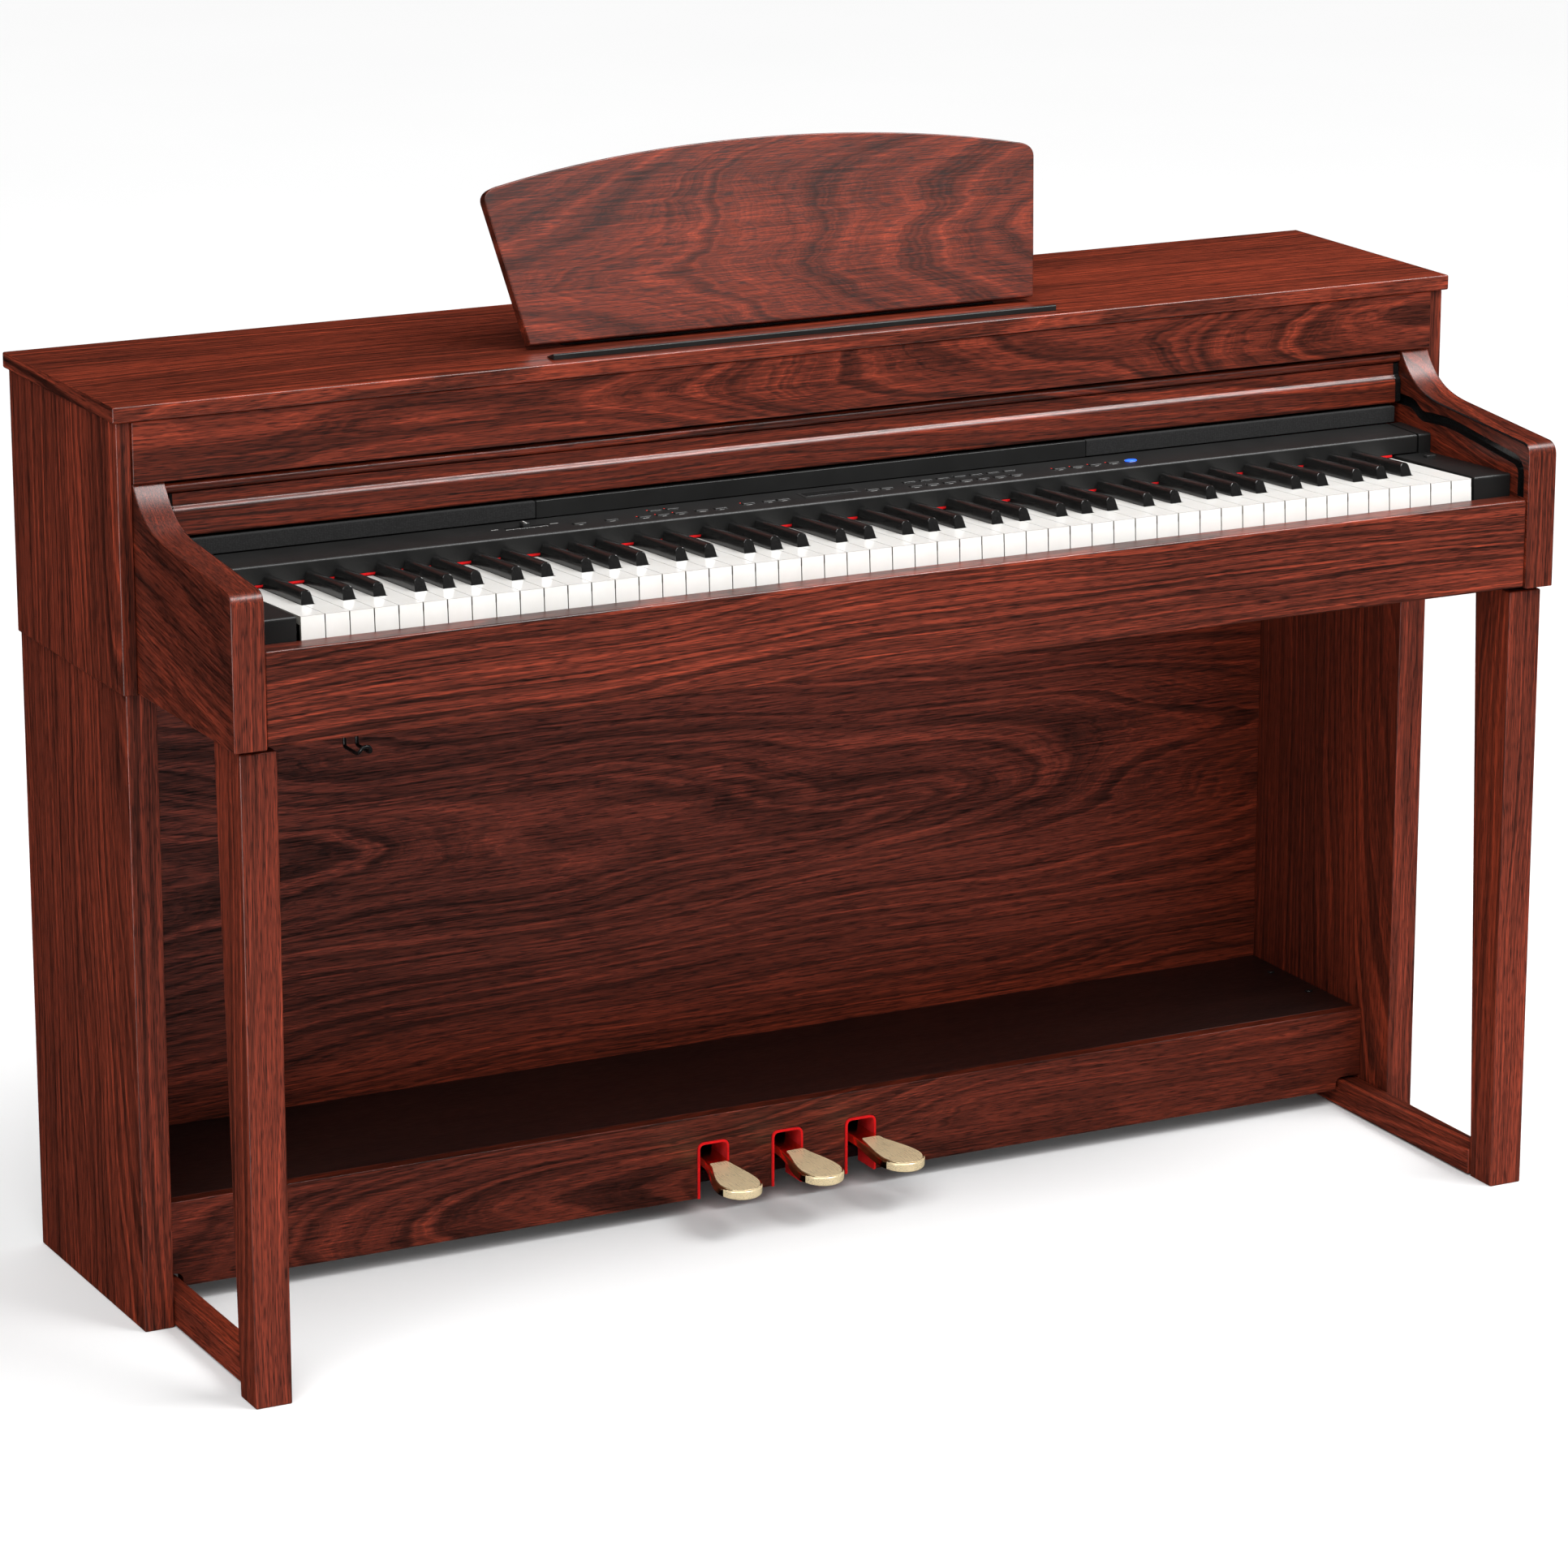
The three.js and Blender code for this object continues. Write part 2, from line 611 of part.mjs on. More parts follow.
// A black key about the pivot line: a tapered body with a leaning front face,
// on a narrow lever that runs back under the control panel.
function blackKey(centre) {
  const shoulder = 2.6;
  const section = new THREE.Shape();
  section.moveTo(-BLACK_HALF_BASE, WHITE_TOP - 4);
  section.lineTo(BLACK_HALF_BASE, WHITE_TOP - 4);
  section.lineTo(BLACK_HALF_BASE, WHITE_TOP + 0.6);
  section.lineTo(BLACK_HALF_TOP, BLACK_TOP - shoulder);
  section.quadraticCurveTo(BLACK_HALF_TOP, BLACK_TOP, BLACK_HALF_TOP - shoulder, BLACK_TOP);
  section.lineTo(shoulder - BLACK_HALF_TOP, BLACK_TOP);
  section.quadraticCurveTo(-BLACK_HALF_TOP, BLACK_TOP, -BLACK_HALF_TOP, BLACK_TOP - shoulder);
  section.lineTo(-BLACK_HALF_BASE, WHITE_TOP + 0.6);
  const body = extrudeY(section, BLACK_FRONT, BLACK_REAR, 0, 2);
  const leanPerMm = 5 / 12;
  const positions = body.attributes.position;
  for (let i = 0; i < positions.count; i += 1) {
    const isFront = positions.getY(i) < (BLACK_FRONT + BLACK_REAR) / 2;
    const above = Math.max(positions.getZ(i) - WHITE_TOP, 0);
    positions.setY(i, positions.getY(i) + (isFront ? above * leanPerMm : 0));
  }
  const lever = block([-4.5, 4.5], [BLACK_FRONT + 8, KEY_TAIL - 1], [-4, WHITE_TOP - 2]);
  return join(body, lever).translate(centre, 0, 0);
}

function blacksBetween(firstWhite, lastWhite) {
  const centres = [];
  for (let index = firstWhite; index <= lastWhite; index += 1) {
    centres.push(blackCentre(index));
  }
  return centres.filter((centre) => centre !== null);
}

function placeKey(name, geometry, look) {
  const mesh = add(name, geometry, look);
  mesh.position.copy(KEY_PIVOT);
  mesh.rotation.x = -KEY_TILT;
}

// A run of white keys joined behind their tails.
function whiteRun(first, last) {
  const tail = KEY_TAIL + 8;
  const keys = [];
  for (let index = first; index <= last; index += 1) {
    keys.push(whiteKey(index, tail));
  }
  const start = KEYBOARD_LEFT + first * KEY_PITCH + KEY_GAP;
  const end = KEYBOARD_LEFT + (last + 1) * KEY_PITCH - KEY_GAP;
  return join(block([start, end], [KEY_TAIL + 1, tail - 0.5], [0.5, WHITE_TOP - 0.5]), ...keys);
}

// A run of black keys joined by a bar under their levers.
function blackRun(first, last) {
  const centres = blacksBetween(first, last);
  const bar = block([centres[0] - 3, centres[centres.length - 1] + 3], [-40, -20], [-7.5, -3]);
  return join(bar, ...centres.map(blackKey));
}

const firstHigh = LOW_WHITES + OCTAVE_WHITES;
placeKey('white_keys_low', whiteRun(0, LOW_WHITES - 1), IVORY);
placeKey('white_keys_high', whiteRun(firstHigh, WHITE_COUNT - 1), IVORY);
placeKey('black_keys_low', blackRun(0, LOW_WHITES - 1), EBONY);
placeKey('black_keys_high', blackRun(firstHigh, WHITE_COUNT - 1), EBONY);
for (let index = LOW_WHITES; index < firstHigh; index += 1) {
  const note = WHITE_NAMES[noteOf(index)];
  placeKey(`key_${note}4`, whiteKey(index), IVORY);
  if (blackCentre(index) !== null) {
    placeKey(`key_${note}_sharp4`, blackKey(blackCentre(index)), EBONY);
  }
}

// The frame under the keys: a front guide rail and a rear pivot rail.
function keyFrame() {
  const side = polygon([
    [-218, KEYBED_TOP + GAP], [14, KEYBED_TOP + GAP], [14, 699], [6, 699], [6, 640],
    [-200, 640], [-200, 680], [-218, 680],
  ]);
  return extrudeX(side, -612, 612);
}

function keyFelt() {
  return block([-614, 614], [PANEL_FRONT - 0.4, -62], [718.6, 720.9]);
}

add('key_frame', keyFrame(), STEEL);
add('key_felt', keyFelt(), RED_FELT);

// ------------------------------------------------------------- control panel

const BUTTON = { width: 12.5, depth: 5, clearance: 0.5 };
const UPPER_ROW = -48.5;
const LOWER_ROW = -66;
const BUTTON_ROWS = [
  { y: -63.5, xs: [-266, -233] },
  { y: UPPER_ROW, xs: [-181, -163] },
  { y: LOWER_ROW, xs: [-200, -181, -163, -141, -121] },
  { y: -60, xs: [-89, -67, -52] },
  { y: -61, xs: [43, 58] },
  { y: UPPER_ROW, xs: [89, 107.3, 125.6, 143.9, 162.2, 180.5, 198.8] },
  { y: LOWER_ROW, xs: [87, 105.3, 123.6, 141.9, 160.2, 178.5, 196.8] },
  { y: -61.5, xs: [247, 267, 287, 307, 327] },
];
const SLIDER = { x: -317, y: -53, travel: 18 };

function eachButton(make) {
  return BUTTON_ROWS.flatMap(({ y, xs }) => xs.map((x) => make(x, y)));
}

// A bent sheet: the upright front face and the almost level top.
function controlPanel() {
  const inner = PANEL_TOP - PANEL_WALL;
  const side = new THREE.Shape();
  side.moveTo(PANEL_FRONT, PANEL_BOTTOM);
  side.lineTo(PANEL_FRONT + PANEL_WALL, PANEL_BOTTOM);
  side.lineTo(PANEL_FRONT + PANEL_WALL, inner);
  side.lineTo(PANEL_BACK, inner + PANEL_RISE);
  side.lineTo(PANEL_BACK, PANEL_TOP + PANEL_RISE);
  side.lineTo(PANEL_FRONT + 1.6, PANEL_TOP);
  side.quadraticCurveTo(PANEL_FRONT, PANEL_TOP, PANEL_FRONT, PANEL_TOP - 1.6);
  const openings = eachButton((x, y) => {
    const halfWidth = BUTTON.width / 2 + BUTTON.clearance;
    const halfDepth = BUTTON.depth / 2 + BUTTON.clearance;
    return block([x - halfWidth, x + halfWidth], [y - halfDepth, y + halfDepth], [730, 745]);
  });
  const slot = block([SLIDER.x - SLIDER.travel - 3, SLIDER.x + SLIDER.travel + 3],
    [SLIDER.y - 1.4, SLIDER.y + 1.4], [730, 745]);
  return cut(extrudeX(side, -PANEL_HALF, PANEL_HALF, 0, 3), slot, ...openings);
}

// Every push button on the panel is moulded on one flexible strip.
function panelButtons() {
  const web = block([-275, 336], [-71, -44], [730, 731.5]);
  const caps = eachButton((x, y) => block(
    [x - BUTTON.width / 2, x + BUTTON.width / 2],
    [y - BUTTON.depth / 2, y + BUTTON.depth / 2], [731, PANEL_TOP + 1.4]));
  return join(web, ...caps);
}

function volumeSlider() {
  const { x, y } = SLIDER;
  return join(
    block([x - 5, x + 5], [y - 4, y + 4], [730, 734]),
    block([x - 1.5, x + 1.5], [y - 0.9, y + 0.9], [733, 741.5]),
    block([x - 3.5, x + 3.5], [y - 4.5, y + 4.5], [740.5, 744]));
}

const POWER = { x: 642, y: -109, halfX: 5.3, halfY: 3.4 };

// The block beside the end keys, with a raised part beside the panel.
function endBlock() {
  const low = 640;
  const side = new THREE.Shape();
  side.moveTo(WHITE_FRONT + 1, low);
  side.lineTo(-40, low);
  side.lineTo(-40, 718);
  side.lineTo(WHITE_FRONT + 2.6, 726);
  side.quadraticCurveTo(WHITE_FRONT + 1, 726, WHITE_FRONT + 1, 724.4);
  const raised = polygon([
    [PANEL_FRONT, 700], [PANEL_BACK, 700], [PANEL_BACK, PANEL_TOP + PANEL_RISE],
    [PANEL_FRONT, PANEL_TOP],
  ]);
  return join(extrudeX(side, BLOCK_INNER, INSIDE, 0, 3), extrudeX(raised, PANEL_HALF + 2, INSIDE));
}

function powerPocket() {
  const clearance = 0.4;
  return block(
    [POWER.x - POWER.halfX - clearance, POWER.x + POWER.halfX + clearance],
    [POWER.y - POWER.halfY - clearance, POWER.y + POWER.halfY + clearance], [712, 740]);
}

function powerButton() {
  return board([POWER.x - POWER.halfX, POWER.x + POWER.halfX],
    [POWER.y - POWER.halfY, POWER.y + POWER.halfY], [715, 723.6], 0.8);
}

// The black bar behind the panel, with cloth over the speakers at both ends.
function grilleBar() {
  return board([-651, 651], [-30, -12], [PANEL_TOP + PANEL_RISE + 0.4, 756.8], 0.8);
}

add('control_panel', controlPanel(), BLACK_PLASTIC);
add('panel_buttons', panelButtons(), BLACK_PLASTIC);
add('volume_slider', volumeSlider(), BLACK_PLASTIC);
add('end_block_left', mirrorX(endBlock()), BLACK_PLASTIC);
add('end_block_right', cut(endBlock(), powerPocket()), BLACK_PLASTIC);
add('power_button', powerButton(), SATIN_BLACK);
add('grille_bar', grilleBar(), BLACK_PLASTIC);

// ----------------------------------------------------------------- key cover

// The cover from the side: a flat board with a moulded lip along its front.
function coverOutline() {
  const under = COVER_TOP - COVER_THICK;
  const outline = new THREE.Shape();
  outline.moveTo(COVER_REAR, under);
  outline.lineTo(COVER_REAR, COVER_TOP);
  outline.lineTo(-24, COVER_TOP);
  outline.lineTo(-24, under);
  outline.lineTo(-22.4, under - 1);
  outline.lineTo(-22.4, 786.5);
  outline.bezierCurveTo(-23, 785, -26.8, 785, -26.8, 781.6);
  outline.lineTo(-28, 762.4);
  outline.quadraticCurveTo(-28, 759.4, -25, 759.4);
  outline.lineTo(-18, 759.4);
  outline.lineTo(-12, 786);
  outline.quadraticCurveTo(-11, under, -6, under);
  return outline;
}

add('key_cover', extrudeX(coverOutline(), -COVER_HALF, COVER_HALF, 0, 5), WOOD);

// ---------------------------------------------------------------- music rest

// The rest's outline about its pivot: across, then up the board.
function restOutline() {
  const bottom = -REST_BELOW_PIVOT;
  const apex = bottom + REST_HEIGHT;
  const shoulder = bottom + 137;
  const outline = new THREE.Shape();
  outline.moveTo(-REST_HALF_BOTTOM, bottom);
  outline.lineTo(REST_HALF_BOTTOM, bottom);
  outline.lineTo(REST_HALF_TOP, shoulder);
  outline.quadraticCurveTo(REST_HALF_TOP + 1.5, apex - 28, 276, apex - 25.5);
  outline.bezierCurveTo(190, apex - 8, 95, apex, 0, apex);
  outline.bezierCurveTo(-95, apex, -190, apex - 8, -276, apex - 25.5);
  outline.quadraticCurveTo(-REST_HALF_TOP - 1.5, apex - 28, -REST_HALF_TOP, shoulder);
  return outline;
}

// The board and the two hinge knuckles screwed to its back. In this frame the
// board stands upright, with its back face a little in front of the pivot.
function musicRest() {
  const back = -REST_BEHIND;
  const face = extrudeY(restOutline(), back - REST_THICK, back, 1, 4);
  const knuckles = [-HINGE_X, HINGE_X].flatMap((x) => [
    rodX(3.6, x - 8, x + 8, 0, 0, 14),
    block([x - 8, x + 8], [back - 0.5, -1], [-3, 20]),
  ]);
  const lugs = [-STAY_X, STAY_X].flatMap((x) => [6, -9].map(
    (dx) => block([x + dx, x + dx + 3], [back - 0.5, 3], [STAY_LENGTH - 4, STAY_LENGTH + 4])));
  const bores = [
    rodX(2.1, -HINGE_X - 20, -HINGE_X + 20, 0, 0, 14),
    rodX(2.1, HINGE_X - 20, HINGE_X + 20, 0, 0, 14),
    rodX(1.6, -STAY_X - 12, -STAY_X + 12, 0, STAY_LENGTH, 12),
    rodX(1.6, STAY_X - 12, STAY_X + 12, 0, STAY_LENGTH, 12),
  ];
  return cut(join(face, ...knuckles, ...lugs), ...bores);
}

// A flat stay about its upper pin, hanging down to a rubber-shod foot.
function stay(x) {
  return join(
    rodX(1.2, x - 9.5, x + 9.5, 0, 0, 12),
    rodX(3, x - 5, x + 5, 0, 0, 12),
    block([x - 5, x + 5], [-1, 1], [-STAY_FOOT, 0]),
    rodX(2.5, x - 6, x + 6, 0, -STAY_FOOT, 12));
}

// One strip on the top board, with a pair of ears and a pin at each knuckle.
function restHinge() {
  const { y, z } = REST_PIVOT;
  const ears = [-HINGE_X, HINGE_X].flatMap((x) => [-11.5, 8.5].flatMap((dx) => [
    rodX(3, x + dx, x + dx + 3, y, z, 14),
    block([x + dx, x + dx + 3], [y - 3, y + 3], [LID_TOP + 1, z]),
  ]));
  const pins = [-HINGE_X, HINGE_X].map((x) => rodX(1.7, x - 11, x + 11, y, z, 14));
  const strip = block([-HINGE_X - 16, HINGE_X + 16], [y - 5, y + 9],
    [LID_TOP + GAP, LID_TOP + 1.8]);
  return join(strip, ...ears, ...pins);
}

function ledgeStrip() {
  const low = LID_TOP + GAP;
  const side = polygon([
    [-15.5, low], [0, low], [0, low + 0.6], [-13.8, low + 5.2], [-15.5, low + 5.2],
  ]);
  return extrudeX(side, -268, 268);
}

add('ledge_strip', ledgeStrip(), BLACK_PLASTIC);
add('rest_hinge', restHinge(), SATIN_BLACK);

const restFrame = new THREE.Group();
restFrame.position.copy(REST_PIVOT);
restFrame.rotation.x = -REST_LEAN;
piano.add(restFrame);
add('music_rest', musicRest(), WOOD, restFrame);
for (const [name, x] of [['rest_stay_left', -STAY_X], ['rest_stay_right', STAY_X]]) {
  const mesh = add(name, stay(x), STEEL, restFrame);
  mesh.position.set(0, 0, STAY_LENGTH);
  mesh.rotation.x = 2 * REST_LEAN;
}

export default piano;
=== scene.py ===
"""Looks for the console digital piano: wood, keys, panel, pedals, light and camera."""

import math

import bmesh
import bpy
from mathutils import Matrix, Vector


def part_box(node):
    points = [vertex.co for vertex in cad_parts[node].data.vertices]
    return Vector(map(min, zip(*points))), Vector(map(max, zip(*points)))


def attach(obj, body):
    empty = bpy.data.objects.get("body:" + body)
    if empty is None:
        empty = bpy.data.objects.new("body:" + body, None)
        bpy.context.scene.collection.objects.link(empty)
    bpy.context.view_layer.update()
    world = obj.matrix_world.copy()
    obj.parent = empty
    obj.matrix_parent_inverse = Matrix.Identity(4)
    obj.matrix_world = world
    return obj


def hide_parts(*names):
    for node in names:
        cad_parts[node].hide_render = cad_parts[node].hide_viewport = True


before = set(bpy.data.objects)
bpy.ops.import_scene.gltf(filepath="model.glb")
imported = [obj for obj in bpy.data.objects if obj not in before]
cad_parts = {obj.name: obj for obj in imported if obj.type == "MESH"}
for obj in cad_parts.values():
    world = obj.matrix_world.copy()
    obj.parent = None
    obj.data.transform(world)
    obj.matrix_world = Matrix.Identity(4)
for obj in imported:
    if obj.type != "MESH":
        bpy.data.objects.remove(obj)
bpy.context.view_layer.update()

MM = 0.001
PIANO = "piano"

# Sizes in millimetres, as in the CAD model.
KEY_PITCH = 23.6
KEY_GAP = 1.0
WHITE_COUNT = 52
KEYBOARD_LEFT = -WHITE_COUNT * KEY_PITCH / 2
KEY_PIVOT = Vector((0, 0, 705)) * MM
KEY_TILT = math.radians(3.1)
WHITE_FRONT = -227
WHITE_TOP = 8.1
WHITE_SLAB = 8
KEY_TAIL = 6
BLACK_FRONT = -178.5
BLACK_REAR = -87
BLACK_HEIGHT = 12
NOTCH_HALF = 7
BLACK_OFFSETS = {0: -3, 1: 3, 3: -4, 4: 0, 5: 4}
NOTE_LETTERS = "cdefgab"
LOW_WHITES = 23
OCTAVE = 7
PANEL_TOP = 739
PANEL_RISE = 0.9
PANEL_FRONT = -84
PANEL_BACK = -30.5
UPPER_ROW = -48.5
LOWER_ROW = -66
REST_PIVOT = Vector((0, 49.6, 891.6)) * MM
REST_LEAN = math.radians(19)
REST_BEHIND = 3.5
REST_THICK = 12
STAY_LENGTH = 80
STAY_X = 150
HINGE_X = 215
PEDAL_SPACING = 82
PEDAL_AXLE = Vector((0, 150, 56)) * MM
PEDAL_TILT = math.radians(2)
SLOT_HALF = 17.5
SLOT_TOP = 77


# ----------------------------------------------------------------- materials


def socket_name(key):
    """The name of the socket that a keyword stands for."""
    return key.replace("_", " ").title().replace("Ior", "IOR")


class Shader:
    """A material with a Principled shader, and short ways to add nodes to it."""

    def __init__(self, name, colour, roughness, metallic=0.0, **constants):
        self.material = bpy.data.materials.new(name)
        self.material.use_nodes = True
        self.material.diffuse_color = (*colour, 1)
        self.nodes = self.material.node_tree.nodes
        self.links = self.material.node_tree.links
        self.principled = self.nodes["Principled BSDF"]
        self.set(self.principled, "Base Color", (*colour, 1))
        self.set(self.principled, "Roughness", roughness)
        self.set(self.principled, "Metallic", metallic)
        for key, value in constants.items():
            self.set(self.principled, socket_name(key), value)

    def set(self, node, socket, value):
        """Sets a socket to a constant, or links another node's output to it."""
        if isinstance(value, bpy.types.NodeSocket):
            self.links.new(value, node.inputs[socket])
        else:
            node.inputs[socket].default_value = value

    def add(self, kind, output=0, **inputs):
        """Adds a node. Inputs named by letters are sockets, the others are properties."""
        node = self.nodes.new(kind)
        for key, value in inputs.items():
            if key.startswith("prop_"):
                setattr(node, key[5:], value)
        for key, value in inputs.items():
            if not key.startswith("prop_"):
                self.set(node, socket_name(key), value)
        return node.outputs[output]

    def coords(self, scale=(1, 1, 1), rotation=(0, 0, 0), location=(0, 0, 0), vector=None):
        if vector is None:
            vector = self.add("ShaderNodeTexCoord", "Object")
        return self.add("ShaderNodeMapping", Vector=vector, Scale=scale,
                        Rotation=rotation, Location=location)

    def noise(self, vector, scale=1.0, detail=3.0, roughness=0.55, output="Fac"):
        return self.add("ShaderNodeTexNoise", output, Vector=vector, Scale=scale,
                        Detail=detail, Roughness=roughness)

    def math(self, operation, a, b):
        node = self.nodes.new("ShaderNodeMath")
        node.operation = operation
        self.set(node, 0, a)
        self.set(node, 1, b)
        return node.outputs[0]

    def ramp(self, value, *stops):
        """A colour ramp through (position, colour) stops."""
        node = self.nodes.new("ShaderNodeValToRGB")
        elements = node.color_ramp.elements
        while len(elements) < len(stops):
            elements.new(0.5)
        for element, (position, colour) in zip(elements, stops):
            element.position = position
            element.color = (*colour, 1)
        self.set(node, "Fac", value)
        return node.outputs["Color"]

    def multiply(self, a, b):
        """Multiplies two colours."""
        node = self.nodes.new("ShaderNodeMix")
        node.data_type = "RGBA"
        node.blend_type = "MULTIPLY"
        node.inputs["Factor"].default_value = 1
        self.links.new(a, node.inputs["A"])
        self.links.new(b, node.inputs["B"])
        return node.outputs["Result"]

    def range(self, value, low, high, from_low=0.0, from_high=1.0):
        return self.add("ShaderNodeMapRange", Value=value, From_Min=from_low,
                        From_Max=from_high, To_Min=low, To_Max=high)

    def colour(self, value):
        self.set(self.principled, "Base Color", value)

    def rough(self, value):
        self.set(self.principled, "Roughness", value)

    def bump(self, height, depth, strength=1.0):
        """Surface relief, depth in metres."""
        normal = self.add("ShaderNodeBump", Height=height, Strength=strength, Distance=depth)
        self.set(self.principled, "Normal", normal)


GRAIN_TURNS = {
    "x": (0, 0, 0),
    "y": (0, 0, -math.pi / 2),
    "z": (0, math.pi / 2, 0),
    "arm": (math.radians(-9), 0, -math.pi / 2),
}
WOOD_STOPS = (
    (0.00, (0.020, 0.0046, 0.0026)),
    (0.25, (0.053, 0.0096, 0.0048)),
    (0.50, (0.108, 0.0168, 0.0074)),
    (0.75, (0.184, 0.0262, 0.0108)),
    (1.00, (0.320, 0.0440, 0.0165)),
)


def wood(name, along, centre=(0, 0, 0), figure=1.0, tone_and_painted_light=1.0, contrast=1.0, taper=0.05):
    """Red-brown rosewood veneer. Its lines are the rings of a tapered log whose heart
    runs through the centre: pointed arches near the heart, straight lines away from it,
    bent by a broad noise where figure is large. Fine streaks and pores lie over them.
    The brightness factor scales each copy's colour: partly the veneer's own tone, partly
    painted light that lightens or darkens a surface for how light falls on it."""
    s = Shader(name, (0.12, 0.026, 0.015), 0.3, specular_ior_level=0.4)
    grain = s.coords(rotation=GRAIN_TURNS[along], location=centre)
    swirl = s.noise(s.coords(vector=grain, scale=(0.9, 4.0, 4.0)), detail=2)
    wobble = s.noise(s.coords(vector=grain, scale=(7, 45, 45)), detail=4)
    stretched = s.coords(vector=grain, scale=(taper, 1, 1))
    length = s.add("ShaderNodeVectorMath", prop_operation="LENGTH", Vector=stretched)
    contour = s.math("ADD", length.node.outputs["Value"], s.math("MULTIPLY", swirl, 0.26 * figure))
    contour = s.math("ADD", contour, s.math("MULTIPLY", wobble, 0.008))
    lines = s.add("ShaderNodeTexNoise", "Fac", prop_noise_dimensions="1D", W=contour,
                  Scale=180.0, Detail=5.0, Roughness=0.75)
    streaks = s.noise(s.coords(vector=grain, scale=(9, 650, 650)), detail=4, roughness=0.65)
    clouds = s.noise(s.coords(vector=grain, scale=(1.4, 17, 17)), detail=2)
    pores = s.noise(s.coords(vector=grain, scale=(60, 1300, 1300)), detail=1)
    tone = s.math("MULTIPLY", lines, 0.42)
    tone = s.math("ADD", tone, s.math("MULTIPLY", streaks, 0.38))
    tone = s.math("ADD", tone, s.math("MULTIPLY", clouds, 0.20))
    spread = 0.13 / contrast
    tone = s.range(tone, 0.0, 1.0, 0.51 - spread, 0.51 + spread)
    veneer = s.ramp(tone, *[(p, tuple(c * tone_and_painted_light for c in rgb)) for p, rgb in WOOD_STOPS])
    strokes = s.ramp(pores, (0.36, (0.36, 0.34, 0.34)), (0.48, (1, 1, 1)))
    s.colour(s.multiply(veneer, strokes))
    s.rough(s.range(pores, 0.37, 0.30, 0.35, 0.6))
    s.bump(pores, 0.00004, 0.4)
    return s.material


def dark_board():
    s = Shader("dark_board", (0.014, 0.005, 0.004), 0.4, coat_weight=0.2, coat_roughness=0.3)
    grain = s.coords()
    streaks = s.noise(s.coords(vector=grain, scale=(7, 110, 110)), detail=4)
    pores = s.noise(s.coords(vector=grain, scale=(80, 620, 620)), detail=3)
    base = s.ramp(s.math("ADD", s.math("MULTIPLY", streaks, 0.7), s.math("MULTIPLY", pores, 0.3)),
                  (0.3, (0.006, 0.0022, 0.002)), (0.7, (0.026, 0.0085, 0.006)))
    s.colour(base)
    s.rough(s.range(pores, 0.5, 0.36, 0.3, 0.7))
    s.bump(pores, 0.0001, 0.4)
    return s.material


def moulded(name, colour, roughness, spread=0.35, grain=2600, depth=0.00004):
    """Moulded plastic with a fine spark-eroded texture."""
    s = Shader(name, colour, roughness, specular_ior_level=0.35)
    fine = s.noise(s.coords(), scale=grain, detail=2)
    broad = s.noise(s.coords(), scale=22, detail=3)
    mixed = s.math("ADD", s.math("MULTIPLY", fine, 0.6), s.math("MULTIPLY", broad, 0.4))
    dark = tuple(c * (1 - spread) for c in colour)
    light = tuple(c * (1 + spread) for c in colour)
    s.colour(s.ramp(mixed, (0.3, dark), (0.7, light)))
    s.rough(s.range(mixed, roughness - 0.06, roughness + 0.08, 0.3, 0.7))
    s.bump(fine, depth, 0.6)
    return s.material


def speaker_cloth():
    s = Shader("speaker_cloth", (0.008, 0.008, 0.008), 0.9)
    weave = s.add("ShaderNodeTexVoronoi", "Distance", Vector=s.coords(), Scale=650.0,
                  Randomness=0.25)
    s.colour(s.ramp(weave, (0.15, (0.022, 0.022, 0.022)), (0.6, (0.003, 0.003, 0.003))))
    s.bump(weave, 0.0006, -1.0)
    return s.material


def ivory():
    s = Shader("white_key_gloss", (0.84, 0.83, 0.80), 0.16, coat_weight=0.15, coat_roughness=0.06,
               specular_ior_level=0.35, subsurface_weight=0.08)
    s.set(s.principled, "Subsurface Radius", (0.002, 0.0018, 0.0015))
    cloud = s.noise(s.coords(), scale=30, detail=3)
    fine = s.noise(s.coords(), scale=900, detail=2)
    s.colour(s.ramp(cloud, (0.3, (0.81, 0.795, 0.76)), (0.7, (0.86, 0.85, 0.82))))
    s.rough(s.range(fine, 0.13, 0.22, 0.3, 0.7))
    s.bump(fine, 0.00001, 0.3)
    return s.material


def ebony():
    s = Shader("black_key_satin", (0.007, 0.007, 0.0066), 0.2, coat_weight=0.5,
               coat_roughness=0.08)
    fine = s.noise(s.coords(scale=(900, 90, 900)), detail=3)
    s.colour(s.ramp(fine, (0.3, (0.005, 0.005, 0.005)), (0.7, (0.014, 0.0135, 0.013))))
    s.rough(s.range(fine, 0.16, 0.24, 0.3, 0.7))
    s.bump(fine, 0.000002, 0.5)
    return s.material


def brass(name, colour, roughness, metallic):
    """Lacquered brass with faint smudges and hairline polishing marks."""
    s = Shader(name, colour, roughness, metallic)
    smudge = s.noise(s.coords(), scale=45, detail=4)
    brushed = s.noise(s.coords(scale=(1600, 90, 900)), detail=2)
    dark = tuple(c * 0.92 for c in colour)
    light = tuple(min(c * 1.06, 1) for c in colour)
    s.colour(s.ramp(smudge, (0.3, dark), (0.7, light)))
    mixed = s.math("ADD", s.math("MULTIPLY", smudge, 0.5), s.math("MULTIPLY", brushed, 0.5))
    s.rough(s.range(mixed, roughness - 0.04, roughness + 0.06, 0.35, 0.65))
    s.bump(brushed, 0.00001, 0.3)
    return s.material


